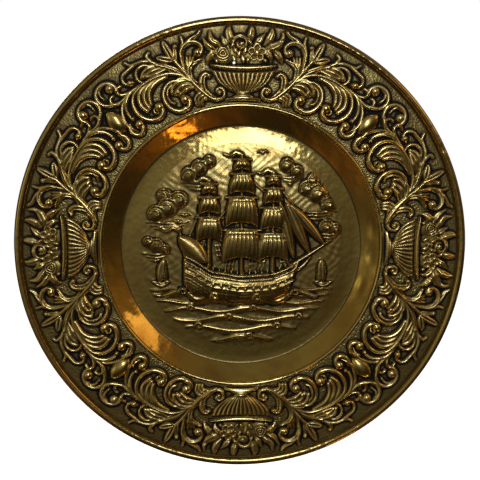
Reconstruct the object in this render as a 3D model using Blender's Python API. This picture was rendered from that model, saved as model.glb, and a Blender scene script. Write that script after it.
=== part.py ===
"""Embossed brass wall plate with a scroll border, four flower vases and a ship in its floor.

The plate is one pressed sheet. It stands upright: the front faces -Y, the wall is on the +Y side and
the top vase is up. The origin is the centre of the hanging hole, on the back of the sheet.
Sizes below are millimetres on the real plate and are turned into metres when the mesh is made.
"""

import math

import bmesh
import bpy
import numpy as np
from mathutils import Matrix

for old in list(bpy.data.objects):
    bpy.data.objects.remove(old, do_unlink=True)

MM = 0.001

# The sheet and its turned profile: radii from the plate's axis, heights in front of the floor.
PLATE_RADIUS = 250.0
SHEET = 0.8
FLOOR_RADIUS = 133.0
LIP_RADIUS = 156.9
LIP_HALF_WIDTH = 1.6
LIP_RISE = 1.9
BAND_INNER_HEIGHT = 15.7
BAND_SLOPE = 0.0705
CREASE_WIDTH = 1.0
CREASE_DEPTH = 0.8
ROLL_RADIUS = 4.1
ROLL_RISE = 1.2
WALL_HOLLOW = 1.6

# The chased work: how far each kind of ornament stands out of the sheet.
SCROLL_RISE = 4.6
LEAF_RISE = 3.8
VASE_RISE = 6.0
FLOWER_RISE = 5.4
EGG_RISE = 6.6
SHIP_RISE = 7.0
FLOOR_MARGIN = 16.0

# The hole for the nail, at a place on the band left of the top vase's middle line.
HOLE_DIAMETER = 3.2
HOLE_PLACE = (-10.0, 45.0)
HOLE_SIDES = 16
CUTTER_LENGTH = 40.0

# Places that follow from the sizes above.
BAND_INNER = LIP_RADIUS + LIP_HALF_WIDTH + 1.0
CREASE_RADIUS = PLATE_RADIUS - 2 * ROLL_RADIUS - 0.5
BAND_OUTER = CREASE_RADIUS - CREASE_WIDTH
BAND_OUTER_HEIGHT = BAND_INNER_HEIGHT + BAND_SLOPE * (BAND_OUTER - BAND_INNER)
MEDALLION_RADIUS = FLOOR_RADIUS - FLOOR_MARGIN

# The mesh: ring segments of the plain parts, and the dense grid that the relief is cut on.
RING = 80
FINE = RING * 16
BAND_ROWS = 78
DISC_ROWS = 80
FACES = 9700
SHARP_ANGLE = 40.0

# The ornament is drawn on a strip: x runs along it from a vase's middle line to the egg's, y runs
# outwards from the lip to the crease. The strip is an eighth of the band.
STRIP_LENGTH = 157.0
STRIP_WIDTH = 83.4
BAND_UNIT = (BAND_OUTER - LIP_RADIUS) / STRIP_WIDTH

# The ship is drawn in a circle of this radius, and then lowered a little.
SHIP_CIRCLE = 101.7
SHIP_UNIT = MEDALLION_RADIUS / SHIP_CIRCLE
SHIP_DROP = 4.3


def on_band(places):
    """Turns places on the strip into points in the plate's plane."""
    places = np.asarray(places, float)
    turn = places[..., 0] / STRIP_LENGTH * math.pi / 4
    radius = LIP_RADIUS + places[..., 1] * BAND_UNIT
    return np.stack([radius * np.sin(turn), radius * np.cos(turn)], axis=-1)


def on_floor(places):
    """Turns places in the ship's drawing into points in the plate's plane."""
    return (np.asarray(places, float) - (0, SHIP_DROP)) * SHIP_UNIT


def coil(eye, start, sweep, first, last):
    """Places along a coil about its eye, from the first radius to the last, angles in degrees."""
    share = np.linspace(0.0, 1.0, max(4, int(abs(sweep) / 18)))
    angle = np.radians(start + sweep * share)
    radius = first * (last / first) ** share
    places = np.stack([eye[0] + radius * np.cos(angle), eye[1] + radius * np.sin(angle)], axis=-1)
    return [tuple(place) for place in places]


def smooth(places, steps=4):
    """A Catmull-Rom curve through the places."""
    p = np.asarray(places, float)
    p = np.vstack([2 * p[0] - p[1], p, 2 * p[-1] - p[-2]])
    t = np.linspace(0, 1, steps, endpoint=False)[:, None]
    out = []
    for a, b, c, d in zip(p[:-3], p[1:-2], p[2:-1], p[3:]):
        out.append(0.5 * (2 * b + (c - a) * t + (2 * a - 5 * b + 4 * c - d) * t ** 2
                          + (3 * b - a - 3 * c + d) * t ** 3))
    out.append(p[-2][None])
    return np.vstack(out)


class Relief:
    """Heights above the plain sheet at a set of points, raised one form at a time."""

    def __init__(self, points, place, unit):
        self.points = points
        self.place = place
        self.unit = unit
        self.height = np.zeros(len(points))

    def near(self, path, reach):
        low, high = path.min(axis=0) - reach, path.max(axis=0) + reach
        inside = (self.points > low) & (self.points < high)
        return np.nonzero(inside.all(axis=1))[0]

    def ridge(self, places, width, rise, rounding=0.7):
        """A rounded strand along a path; width and rise go evenly from the root to the tip."""
        path = self.place(smooth(places))
        which = self.near(path, max(width) * self.unit)
        if not len(which):
            return
        length = np.r_[0.0, np.cumsum(np.hypot(*np.diff(path, axis=0).T))]
        best = np.full(len(which), 1e9)
        along = np.zeros(len(which))
        for a, b, s in zip(path[:-1], path[1:], length[:-1]):
            step = b - a
            size = max(float(np.hypot(*step)), 1e-6)
            rel = self.points[which] - a
            t = np.clip(rel @ step / size ** 2, 0, 1)
            gap = np.hypot(*(rel - t[:, None] * step).T)
            closer = gap < best
            best[closer] = gap[closer]
            along[closer] = (s + t * size)[closer] / length[-1]
        half = (width[0] + (width[1] - width[0]) * along) * self.unit
        top = rise[0] + (rise[1] - rise[0]) * along
        body = top * np.clip(1 - (best / half) ** 2, 0, 1) ** rounding
        self.height[which] = np.maximum(self.height[which], body)

    def leaf(self, root, tip, half, rise, vein=0.25):
        """A lens-shaped leaf with a sunk vein."""
        half *= self.unit
        a, b = self.place([root, tip])
        which = self.near(np.array([a, b]), half)
        rel = self.points[which] - a
        step = b - a
        size = np.hypot(*step)
        t = rel @ step / size ** 2
        side = (rel[:, 0] * step[1] - rel[:, 1] * step[0]) / size
        edge = half * np.clip(4 * t * (1 - t), 0, 1) ** 0.7 + 1e-6
        body = rise * np.clip(1 - (side / edge) ** 2, 0, 1) ** 0.6
        body *= 1 - vein * np.exp(-(side / (0.22 * half)) ** 2)
        body[(t < 0) | (t > 1)] = 0
        self.height[which] = np.maximum(self.height[which], body)

    def dome(self, centre, radius, rise):
        """A round boss."""
        c = self.place([centre])[0]
        gap = np.hypot(*(self.points - c).T) / (radius * self.unit)
        self.height = np.maximum(self.height, rise * np.clip(1 - gap ** 2, 0, 1) ** 0.6)


def scrolls(work):
    """The acanthus scrollwork of half a quarter, from a vase's middle line to the egg's."""
    full = (SCROLL_RISE, SCROLL_RISE * 0.8)
    thin = (SCROLL_RISE * 0.85, SCROLL_RISE * 0.55)
    leaf = (LEAF_RISE, LEAF_RISE * 0.5)
    # The stem that starts in a coil at the vase's foot and rises to the node.
    work.ridge([(59.5, 37), (56.5, 29), (50.5, 20.5), (42, 13)] + coil((30.8, 15.2), -72, -280, 6.8, 2.6),
               (3.4, 2.4), full)
    work.ridge([(41, 13), (44.5, 20), (47.3, 27)] + coil((43.3, 32.5), -5, 175, 4.2, 3.7), (2.8, 2.3), thin)
    work.ridge([(41, 13), (45.5, 16)] + coil((51.5, 10), 110, -120, 7.8, 7.2), (3.0, 1.8), thin)
    work.ridge([(58, 33), (59, 40), (58.3, 45), (54, 49), (48.5, 50), (44.5, 51)], (2.8, 1.4), thin)
    work.ridge([(58.5, 42), (57.5, 50), (56.5, 57)], (2.6, 1.2), leaf)
    # The tall curl and its tips beside the flowers.
    work.ridge([(60, 34), (62.5, 44), (63, 53)] + coil((48, 62.5), -15, 262, 14.5, 5.0), (2.8, 2.5), full)
    work.dome((44.6, 60.6), 3.4, SCROLL_RISE)
    work.ridge([(60.5, 63), (56, 70.5), (49, 74.5), (42.5, 77.5), (40, 82)], (2.4, 1.4), leaf)
    work.ridge([(61, 60), (59.5, 68), (57.5, 74), (58.5, 79.5)], (1.9, 1.2), leaf)
    # The palmette.
    work.ridge([(61, 35), (65, 46), (69, 56), (71.5, 63)], (1.8, 3.2), thin)
    work.ridge([(69, 57), (67.5, 66), (65.8, 71.5)], (2.4, 2.2), leaf)
    work.leaf((71, 59), (76.3, 81), 3.8, LEAF_RISE)
    work.ridge([(71, 59), (77, 65), (83.5, 67.5)], (3.0, 1.8), leaf)
    # The middle branch, its tendrils and its inner leaf.
    work.ridge([(61, 34), (70, 46.5), (79, 54), (87, 59)], (2.6, 4.0), full)
    work.ridge([(84, 58), (91, 65.5), (98, 70.5), (105, 72.5), (111, 73.5), (114.5, 79)], (2.6, 1.3), thin)
    work.ridge([(88, 61)] + coil((103, 58.5), 140, -200, 9.5, 7.6), (2.3, 1.5), thin)
    work.ridge([(86, 58), (95, 59.3), (102, 58.3), (106.5, 57)], (3.8, 1.6), leaf)
    work.ridge([(83, 54.5), (91, 55.3), (99, 55)], (2.6, 1.5), leaf)
    work.ridge([(89, 63), (93, 69), (93.3, 74), (90.8, 75.5)], (2.0, 1.6), thin)
    work.ridge([(104, 72), (111, 71.5)] + coil((118.5, 62.5), 105, -225, 8.2, 3.6), (2.3, 2.0), thin)
    work.dome((120.4, 59.4), 3.4, LEAF_RISE)
    # The low stem with two hooks, and the loop above the egg.
    work.ridge([(112, 50.5), (124, 50.6), (135, 48.6), (144, 47.6)] + coil((144.5, 65.5), -60, 290, 12.5, 7.0),
               (2.6, 2.4), full)
    work.dome((139.2, 64.2), 3.6, SCROLL_RISE)
    work.ridge([(122, 50.8), (129, 51.2)] + coil((130.5, 57.5), -60, 170, 5.0, 4.4), (2.0, 1.6), thin)
    work.ridge([(134, 47.5), (140, 47.8)] + coil((142.5, 54), -60, 165, 5.0, 4.3), (2.0, 1.6), thin)
    # The large acanthus scroll and the folds of its leaf.
    work.ridge([(60.5, 33), (69, 42), (79, 47.3), (91, 49), (104, 48.8), (114, 47.8)]
               + coil((113.3, 29.8), 62, -157, 18.5, 18.7) + coil((109, 18.2), -115, -205, 7.4, 3.8),
               (3.6, 2.6), full)
    work.dome((108, 21.4), 3.0, SCROLL_RISE)
    work.ridge([(84, 47), (96, 46.3), (104, 42.8), (109.5, 37.5), (112, 32)], (3.0, 1.5), leaf)
    work.ridge([(96, 47.5), (107, 44.5), (113, 38.5), (116.3, 31.5), (118.5, 24)], (3.2, 1.4), leaf)
    work.ridge([(108, 48), (116.5, 42.5), (120.7, 35.5), (120.3, 27.5)], (2.8, 1.4), leaf)
    # The second scroll, its leaf and its small coil.
    work.ridge([(59, 31), (65, 36), (71, 38.2)] + coil((80, 21.5), 105, -208, 17.4, 16.3)
               + coil((74, 13.4), -122, -165, 7.3, 4.6), (3.4, 2.5), full)
    work.dome((73.3, 16), 3.3, SCROLL_RISE)
    work.ridge([(58.5, 28), (66, 31.3), (74, 31.8), (82, 29), (86.5, 25)], (3.0, 1.4), leaf)
    work.ridge([(57, 25.5), (66, 27), (73, 24.8), (77.5, 21.3)], (2.6, 1.4), leaf)
    work.ridge([(63, 33.3), (72, 35.6), (80, 33.3), (84.5, 29.5)], (2.2, 1.4), leaf)
    work.ridge([(94, 27), (92.6, 20), (89, 16.8), (86.5, 18)], (2.2, 1.9), thin)
    # The small scroll beside the egg.
    work.ridge([(114, 49), (125, 47.3), (134, 42.4), (141, 35.5), (147, 28.5)]
               + coil((144, 17.6), 38, -235, 9.6, 6.4), (3.2, 2.4), full)
    work.dome((139.6, 16), 3.5, SCROLL_RISE)
    work.ridge([(127, 44.5), (136, 38.5), (140.3, 32), (139.3, 26.5)], (2.6, 2.0), leaf)
    # The egg.
    middle = on_band((STRIP_LENGTH, 36.5))
    out = middle / np.hypot(*middle)
    rel = (work.points - middle) / BAND_UNIT
    v = rel @ out / 14.0
    u = (rel[:, 0] * out[1] - rel[:, 1] * out[0]) / (8.2 + 1.3 * v)
    egg = EGG_RISE * np.clip(1 - u ** 2 - v ** 2, 0, 1) ** 0.5
    work.height = np.maximum(work.height, egg)


def vase(work, x, y):
    """A wide fluted bowl on a stepped foot, seen from the front."""
    rows = [4.3, 5.0, 8.0, 8.3, 10.6, 11.0, 13.2, 13.8, 15.0, 16.5, 19.0, 24.0, 29.5, 35.0, 40.0]
    half = [21.5, 22.0, 22.0, 13.0, 12.5, 7.5, 7.5, 5.0, 6.5, 12.5, 19.5, 26.0, 30.5, 33.0, 34.0]
    lift = 0.0036 * x ** 2
    level = y - lift * np.clip((y - 15) / 25, 0, 1)
    edge = np.interp(level, rows, half)
    u = np.clip(x / edge, -1, 1)
    body = VASE_RISE * np.sqrt(1 - u ** 2)
    body *= np.interp(level, [4.3, 5.3, 8.0, 8.4, 10.6, 13.2, 14.2, 22, 40.2],
                      [0.0, 0.75, 0.75, 0.8, 0.8, 0.9, 0.75, 1.0, 1.0])
    flutes = 0.55 * np.cos(2 * math.pi * x / edge * 5.3) * np.clip((level - 16) / 6, 0, 1)
    body += np.where(abs(x) < edge * 0.97, flutes, 0)
    body[(level < 4.3) | (level > 40) | (abs(x) >= edge)] = 0
    rim = VASE_RISE * 1.1 * np.clip(1 - ((level - 41.8) / 2.7) ** 2, 0, 1) ** 0.5
    rim[abs(x) > 35.2] = 0
    work.height = np.maximum(work.height, np.maximum(body, rim))


def flowers(work):
    """The bunch in a vase: a rose, a five-petalled flower, a bud between them, and leaves."""
    # Leaves and buds at the back, root first.
    for root, tip, half in (((-12.5, 67), (-13.2, 83.5), 3.9), ((6.5, 68), (7.8, 83.5), 3.0),
                            ((-15.5, 62), (-21.5, 75), 3.6), ((11, 63), (19, 75.5), 3.9),
                            ((21.5, 66), (26.8, 81.5), 3.0), ((22, 59), (36.5, 71), 5.4),
                            ((21, 59), (29, 49), 3.8), ((31, 58), (40, 48), 3.9),
                            ((-28, 58), (-38, 49.5), 4.4)):
        work.leaf(root, tip, half, LEAF_RISE)
    work.ridge([(-20, 62), (-26, 68), (-30.5, 73), (-30, 80)], (3.0, 1.2), (LEAF_RISE, 2.2))
    work.ridge([(-29, 59), (-33.5, 64.5), (-37, 71.5)], (3.0, 1.3), (LEAF_RISE, 2.2))
    work.ridge([(34, 68), (36.8, 72), (36.3, 77)], (2.0, 1.1), (LEAF_RISE * 0.8, 2.0))
    # The rose is a boss with turned rings.
    centre = work.place([(-18.5, 55)])[0]
    gap = np.hypot(*(work.points - centre).T) / BAND_UNIT
    rose = FLOWER_RISE * np.clip(1 - (gap / 9.6) ** 2, 0, 1) ** 0.45
    rose *= 0.86 + 0.14 * np.cos(2 * math.pi * gap / 3.1)
    work.height = np.maximum(work.height, rose)
    # The five-petalled flower.
    for petal in range(5):
        turn = math.radians(20 + 72 * petal)
        work.dome((13.5 + 6.0 * math.cos(turn), 55.3 + 6.0 * math.sin(turn)), 4.3, FLOWER_RISE * 0.85)
    work.dome((13.5, 55.3), 3.1, FLOWER_RISE * 1.05)
    # The bud between two curled petals, and the small petals under it.
    work.ridge(coil((-1.5, 63), 95, 160, 8.3, 7.5), (2.3, 1.8), (FLOWER_RISE * 0.8, 3.0))
    work.ridge(coil((-1.5, 63), 75, -120, 8.5, 7.5), (2.3, 1.8), (FLOWER_RISE * 0.8, 3.0))
    work.dome((-1.5, 63.5), 4.3, FLOWER_RISE)
    for place, size in (((-6.3, 56.5), 3.0), ((-0.5, 55.5), 3.6), ((1.0, 48.8), 3.8), ((-7.5, 49), 3.2),
                        ((-3.2, 46), 2.6), ((5.2, 62.5), 2.4)):
        work.dome(place, size, FLOWER_RISE * 0.75)


def ship(work):
    """A three-masted ship under full sail on a running sea."""
    x, z = work.points.T / SHIP_UNIT
    z = z + SHIP_DROP
    # The sea: a low bank with waves that flatten into streaks towards the bottom.
    sea = np.clip((-36 - z) / 3, 0, 1)
    waves = 1.6 + 1.5 * np.sin(z / 3.4 + 1.5 * np.sin(x / 15.0) + 0.5 * np.sin(x / 6.0 + z / 9.0))
    waves = np.clip(waves, 0.3, None) * np.interp(z, [-100, -80, -45], [0.5, 0.8, 1.2])
    work.height = np.maximum(work.height, sea * waves)
    # The hull, fuller at the stern on the left.
    deck = np.interp(x, [-58, -50, -30, 0, 30, 50, 58], [-4, -7, -20, -25, -23, -15, -8])
    keel = np.interp(x, [-58, -48, -20, 30, 46, 58], [-34, -46, -52, -52, -44, -10])
    size = np.clip((deck - keel) / 2, 0.5, None)
    hull = SHIP_RISE * np.clip(1 - ((z - (deck + keel) / 2) / size) ** 2, 0, 1) ** 0.4
    hull *= 0.93 + 0.07 * np.cos(2 * math.pi * (z - deck) / 6.0)
    hull[abs(x) > 57] = 0
    work.height = np.maximum(work.height, hull)
    work.ridge([(-74, -44), (-56, -40), (-40, -49), (-20, -46), (0, -51), (22, -47), (42, -50), (62, -38), (78, -44)],
               (4.4, 4.4), (SHIP_RISE * 0.9, SHIP_RISE * 0.7))
    # Masts with pennants, and the bowsprit.
    for foot, head in (((-32, -16), (-32, 64)), ((0, -24), (0, 92)), ((31, -22), (31, 72))):
        work.ridge([foot, ((foot[0] + head[0]) / 2, (foot[1] + head[1]) / 2), head], (1.9, 1.2), (4.5, 2.5))
        work.ridge([(head[0], head[1] - 1), (head[0] - 7, head[1] + 1.5), (head[0] - 15, head[1] - 1.5)],
                   (2.2, 0.9), (3.0, 2.0))
    work.ridge([(50, -14), (66, -3), (82, 7)], (2.0, 1.3), (4.5, 3.0))
    # Square sails: middle line, foot, head, and half widths at foot and head.
    for middle, foot, head, wide, narrow in ((0, -11, 20, 17.5, 15), (0, 24, 52, 14.5, 11.5), (0, 56, 75, 11, 7.5),
                                             (31, -9, 16, 13.5, 11.5), (31, 20, 42, 11, 9), (31, 46, 61, 8.5, 6),
                                             (-32, 10, 32, 11.5, 9), (-32, 36, 52, 8.5, 6)):
        t = (z - foot) / (head - foot)
        u = (x - middle) / (wide + (narrow - wide) * t)
        sag = 0.16 * (1 - np.clip(abs(u), 0, 1) ** 2)
        v = (t - sag) / (1 - sag)
        swell = 0.45 + 0.55 * np.sin(math.pi * np.clip(1 - v * 0.9, 0, 1))
        belly = SHIP_RISE * np.clip(1 - u ** 4, 0, 1) ** 0.5 * swell
        belly[(v < 0) | (t > 1) | (abs(u) > 1)] = 0
        work.height = np.maximum(work.height, belly)
    # The spanker at the stern and two jibs at the bow.
    work.leaf((-33, -11), (-60, 12), 9.0, SHIP_RISE * 0.7, vein=0.0)
    work.leaf((50, -8), (36, 52), 5.5, SHIP_RISE * 0.7, vein=0.0)
    work.leaf((72, 3), (44, 42), 6.5, SHIP_RISE * 0.7, vein=0.0)
    # Two small boats far off.
    for boat in (-82, 84):
        work.ridge([(boat - 7, -33), (boat, -35), (boat + 7, -33)], (2.4, 2.4), (4.0, 4.0))
        work.leaf((boat, -34), (boat + 2, -12), 4.6, 4.2, vein=0.0)
    # Banks of cloud on both sides.
    for cx, cz, radius in ((-84, 36, 12), (-69, 42, 10), (-92, 23, 9), (-58, 75, 10), (-46, 81, 8),
                           (73, 58, 12), (59, 68, 10), (85, 46, 9), (89, 20, 10), (77, 25, 8), (-90, -3, 8)):
        work.dome((cx, cz), radius, 4.4)


def turn_ring(radius, count):
    """Plane points round the axis, the first one straight up, going clockwise as seen from the front."""
    turn = np.arange(count) * 2 * math.pi / count
    return np.stack([radius * np.sin(turn), radius * np.cos(turn)], axis=-1)


def offset(profile, gap):
    """The profile moved off the sheet's face by the gap, on the wall side, with mitred corners."""
    p = np.asarray(profile, float)
    step = np.diff(p, axis=0)
    step /= np.hypot(*step.T)[:, None]
    side = np.stack([step[:, 1], -step[:, 0]], axis=-1)
    normal = np.vstack([side[:1], side[:-1] + side[1:], side[-1:]])
    normal /= np.hypot(*normal.T)[:, None]
    reach = (normal * np.vstack([side[:1], side])).sum(axis=1)
    return p + normal * (gap / reach)[:, None]


def stitch(faces, inner, outer, flip):
    """Joins two rings of vertex numbers that may have different counts."""
    a = b = 0
    while a < len(inner) or b < len(outer):
        first, second = inner[a % len(inner)], outer[b % len(outer)]
        if b >= len(outer) or (a < len(inner) and (a + 0.5) / len(inner) <= (b + 0.5) / len(outer)):
            a += 1
            face = (first, inner[a % len(inner)], second)
        else:
            b += 1
            face = (first, outer[b % len(outer)], second)
        faces.append(face[::-1] if flip else face)


def aged_brass():
    """Brass with a warm, dulled surface."""
    brass = bpy.data.materials.new("aged_brass")
    brass.use_nodes = True
    shader = brass.node_tree.nodes["Principled BSDF"]
    shader.inputs["Base Color"].default_value = (0.56, 0.42, 0.16, 1.0)
    shader.inputs["Metallic"].default_value = 1.0
    shader.inputs["Roughness"].default_value = 0.35
    return brass


def build_plate(parts):
    """The closed sheet: relief and turned profile in front, plain turned back behind."""
    points, heights, faces, held = [], [], [], []
    total = 0

    def ring(plane, height, hold):
        nonlocal total
        count = len(plane)
        points.append(plane)
        heights.append(np.broadcast_to(height, count))
        held.append(np.full(count, hold))
        total += count
        return np.arange(total - count, total)

    # The floor: rings with six more points each, so that the grid is even all over.
    disc = [np.zeros((1, 2))] + [turn_ring(MEDALLION_RADIUS * 1.01 * k / DISC_ROWS, 6 * k)
                                 for k in range(1, DISC_ROWS + 1)]
    work = Relief(np.vstack(disc), on_floor, SHIP_UNIT)
    ship(work)
    away = np.hypot(*work.points.T)
    work.height *= np.clip((MEDALLION_RADIUS - away) / 4, 0, 1)
    cuts = np.cumsum([len(d) for d in disc])[:-1]
    last = None
    for plane, height in zip(disc, np.split(work.height, cuts)):
        this = ring(plane, height, False)
        if last is not None:
            stitch(faces, last, this, True)
        last = this

    # The wall of the dish and its lip.
    wall = []
    for share in (0, 1 / 3, 2 / 3, 1):
        radius = FLOOR_RADIUS + (LIP_RADIUS - LIP_HALF_WIDTH - FLOOR_RADIUS) * share
        wall.append((radius, BAND_INNER_HEIGHT * share ** WALL_HOLLOW))
    lip = [(LIP_RADIUS, BAND_INNER_HEIGHT + LIP_RISE), (LIP_RADIUS + LIP_HALF_WIDTH, BAND_INNER_HEIGHT)]
    for radius, height in wall + lip:
        this = ring(turn_ring(radius, RING), height, True)
        stitch(faces, last, this, True)
        last = this

    # The band: one quarter of the ornament is worked out and repeated round the plate.
    radii = np.linspace(BAND_INNER, BAND_OUTER, BAND_ROWS)
    quarter = FINE // 4
    column = np.arange(quarter) - quarter // 2
    x = np.broadcast_to(column * (2 * STRIP_LENGTH / quarter), (BAND_ROWS, quarter))
    y = np.broadcast_to(((radii - LIP_RADIUS) / BAND_UNIT)[:, None], (BAND_ROWS, quarter))
    half = Relief(on_band(np.stack([abs(x), y], axis=-1)).reshape(-1, 2), on_band, BAND_UNIT)
    scrolls(half)
    full = Relief(on_band(np.stack([x, y], axis=-1)).reshape(-1, 2), on_band, BAND_UNIT)
    full.height = half.height
    vase(full, x.ravel(), y.ravel())
    flowers(full)
    relief = full.height.reshape(BAND_ROWS, quarter)
    relief *= np.clip(np.minimum(radii - BAND_INNER, BAND_OUTER - radii) / 1.5, 0, 1)[:, None]
    relief = np.roll(np.tile(relief, 4), -(quarter // 2), axis=1)
    for row, radius in enumerate(radii):
        plain = BAND_INNER_HEIGHT + BAND_SLOPE * (radius - BAND_INNER)
        this = ring(turn_ring(radius, FINE), plain + relief[row], False)
        stitch(faces, last, this, True)
        last = this

    # The crease and the roll, which is turned right round to the back of the band.
    crease = (CREASE_RADIUS, BAND_OUTER_HEIGHT - CREASE_DEPTH)
    rim = [crease]
    for angle in (180, 135, 90, 45, 0, -60, -125):
        turn = math.radians(angle)
        rim.append((PLATE_RADIUS - ROLL_RADIUS + ROLL_RADIUS * math.cos(turn),
                    BAND_OUTER_HEIGHT + ROLL_RISE + ROLL_RADIUS * math.sin(turn)))
    wall[-1] = (LIP_RADIUS - 1.0, BAND_INNER_HEIGHT)
    behind = offset([(0.0, 0.0)] + wall + [crease], SHEET)[1:]
    for radius, height in rim + [tuple(place) for place in behind[::-1]]:
        this = ring(turn_ring(radius, RING), height, True)
        stitch(faces, last, this, True)
        last = this
    faces.append(tuple(int(v) for v in last[::-1]))

    plane = np.vstack(points)
    height = np.concatenate(heights)
    hold = np.concatenate(held)
    # The axis and the depth are set out from the hanging hole.
    hole = on_band(HOLE_PLACE)
    at_hole = BAND_INNER_HEIGHT + BAND_SLOPE * (np.hypot(*hole) - BAND_INNER) - SHEET
    places = np.stack([plane[:, 0] - hole[0], at_hole - height, plane[:, 1] - hole[1]], axis=-1) * MM
    mesh = bpy.data.meshes.new("embossed_plate")
    mesh.from_pydata(places.tolist(), [], [tuple(int(v) for v in face) for face in faces])
    mesh.validate()
    mesh.shade_smooth()
    mesh.set_sharp_from_angle(angle=math.radians(SHARP_ANGLE))
    mesh.materials.append(aged_brass())
    plate = bpy.data.objects.new("embossed_plate", mesh)
    parts.objects.link(plate)
    group = plate.vertex_groups.new(name="relief")
    group.add([int(v) for v in np.nonzero(~hold)[0]], 1.0, "REPLACE")
    triangles = sum(len(p.vertices) - 2 for p in mesh.polygons)
    cut = plate.modifiers.new("facets", "DECIMATE")
    cut.decimate_type = "COLLAPSE"
    cut.ratio = FACES / triangles
    cut.vertex_group = "relief"
    cut.vertex_group_factor = 1.0
    cut.use_collapse_triangulate = True
    return plate


def bore_hole(plate, cutters):
    """The drilled hole for the nail."""
    cutter_mesh = bpy.data.meshes.new("hole_cutter")
    shape = bmesh.new()
    bmesh.ops.create_cone(shape, cap_ends=True, segments=HOLE_SIDES, radius1=HOLE_DIAMETER / 2 * MM,
                          radius2=HOLE_DIAMETER / 2 * MM, depth=CUTTER_LENGTH * MM)
    bmesh.ops.rotate(shape, verts=shape.verts, matrix=Matrix.Rotation(math.pi / 2, 3, "X"))
    shape.to_mesh(cutter_mesh)
    shape.free()
    cutter = bpy.data.objects.new("hole_cutter", cutter_mesh)
    cutters.objects.link(cutter)
    cutter.hide_render = True
    cutter.display_type = "WIRE"
    hole = plate.modifiers.new("hanging_hole", "BOOLEAN")
    hole.operation = "DIFFERENCE"
    hole.solver = "EXACT"
    hole.object = cutter


plate_parts = bpy.data.collections.new("embossed_wall_plate")
hole_cutters = bpy.data.collections.new("cutters")
bpy.context.scene.collection.children.link(plate_parts)
bpy.context.scene.collection.children.link(hole_cutters)
bore_hole(build_plate(plate_parts), hole_cutters)
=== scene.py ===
import math

import bmesh
import bpy
import numpy as np
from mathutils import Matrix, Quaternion, Vector


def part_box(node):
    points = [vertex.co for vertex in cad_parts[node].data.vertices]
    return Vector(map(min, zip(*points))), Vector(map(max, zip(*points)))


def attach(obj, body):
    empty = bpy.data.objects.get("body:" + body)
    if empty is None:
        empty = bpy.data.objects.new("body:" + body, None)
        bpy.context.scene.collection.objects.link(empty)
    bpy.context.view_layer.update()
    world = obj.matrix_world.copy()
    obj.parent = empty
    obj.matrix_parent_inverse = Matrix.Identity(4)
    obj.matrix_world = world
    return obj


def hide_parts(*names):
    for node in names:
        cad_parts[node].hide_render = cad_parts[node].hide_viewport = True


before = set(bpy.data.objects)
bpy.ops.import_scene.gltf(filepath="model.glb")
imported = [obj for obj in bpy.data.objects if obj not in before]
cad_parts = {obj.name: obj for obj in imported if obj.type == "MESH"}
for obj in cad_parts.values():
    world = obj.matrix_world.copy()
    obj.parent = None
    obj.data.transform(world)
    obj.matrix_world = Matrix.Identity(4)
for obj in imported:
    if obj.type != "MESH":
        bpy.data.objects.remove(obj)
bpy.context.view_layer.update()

# The border is a ring of the plate's one brass sheet, pressed and chased with four vases of flowers,
# acanthus scrolls and eggs. The brass is aged: black with dirt and painted shade in the recesses, and
# rubbed bright on the high places, which carry a painted highlight as well.
# Its four quarters are alike, so a quarter is drawn once and set four times round the plate.
MM = 0.001
PLATE = "embossed_plate"
plate_low, plate_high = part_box(PLATE)
axis = (plate_low + plate_high) / 2
PLATE_RADIUS = (plate_high.x - plate_low.x) / 2 / MM
SHEET = 0.8
FLOOR_FRONT = plate_high.y - SHEET * MM
LIP_RADIUS = 156.9
LIP_HALF_WIDTH = 1.6
ROLL_RADIUS = 4.1
CREASE_WIDTH = 1.0
BORDER_INNER_HEIGHT = 15.7
BORDER_SLOPE = 0.0705
BORDER_INNER = LIP_RADIUS + LIP_HALF_WIDTH + 1.0
CREASE_RADIUS = PLATE_RADIUS - 2 * ROLL_RADIUS - 0.5
BORDER_OUTER = CREASE_RADIUS - CREASE_WIDTH
BORDER_OUTER_HEIGHT = BORDER_INNER_HEIGHT + BORDER_SLOPE * (BORDER_OUTER - BORDER_INNER)

# The ornament is drawn on a strip in millimetres: x runs from a vase's middle line to the egg's,
# y outwards from the lip to the crease. The strip is an eighth of the border.
STRIP_LENGTH = 157.0
STRIP_WIDTH = 83.4
BORDER_UNIT = (BORDER_OUTER - LIP_RADIUS) / STRIP_WIDTH
BORDER_COLUMNS = 600
BORDER_ROWS = 148
SCROLL_RISE = 4.6
LEAF_RISE = 3.8
STRAND_FULLNESS = 1.16
EDGE_FADE = 1.5
BORDER_SOFTENING = 0.8
GROUND_HEIGHT = 0.5
# How much the ground is matted, and how much dirt lies on it, at these distances from the lip.
MATTED_FROM_LIP = ((0, 50, 70, 84), (1.0, 1.0, 0.7, 0.6))
DIRT_NEAR_RIM = ((58, 72), (0.0, 0.17))


def on_border(places):
    """Places on the strip as points in the plate's plane, in millimetres from its axis."""
    places = np.asarray(places, float)
    turn = places[..., 0] / STRIP_LENGTH * math.pi / 4
    radius = LIP_RADIUS + places[..., 1] * BORDER_UNIT
    return np.stack([radius * np.sin(turn), radius * np.cos(turn)], axis=-1)


def coil(eye, start, sweep, first, last):
    """Places along a coil about its eye, from the first radius to the last, angles in degrees."""
    share = np.linspace(0.0, 1.0, max(4, int(abs(sweep) / 15)))
    angle = np.radians(start + sweep * share)
    radius = first * (last / first) ** share
    return list(zip(eye[0] + radius * np.cos(angle), eye[1] + radius * np.sin(angle)))


def smooth(places, steps=5):
    """A Catmull-Rom curve through the places."""
    p = np.asarray(places, float)
    p = np.vstack([2 * p[0] - p[1], p, 2 * p[-1] - p[-2]])
    t = np.linspace(0, 1, steps, endpoint=False)[:, None]
    out = []
    for a, b, c, d in zip(p[:-3], p[1:-2], p[2:-1], p[3:]):
        out.append(0.5 * (2 * b + (c - a) * t + (2 * a - 5 * b + 4 * c - d) * t ** 2
                          + (3 * b - a - 3 * c + d) * t ** 3))
    out.append(p[-2][None])
    return np.vstack(out)


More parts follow.
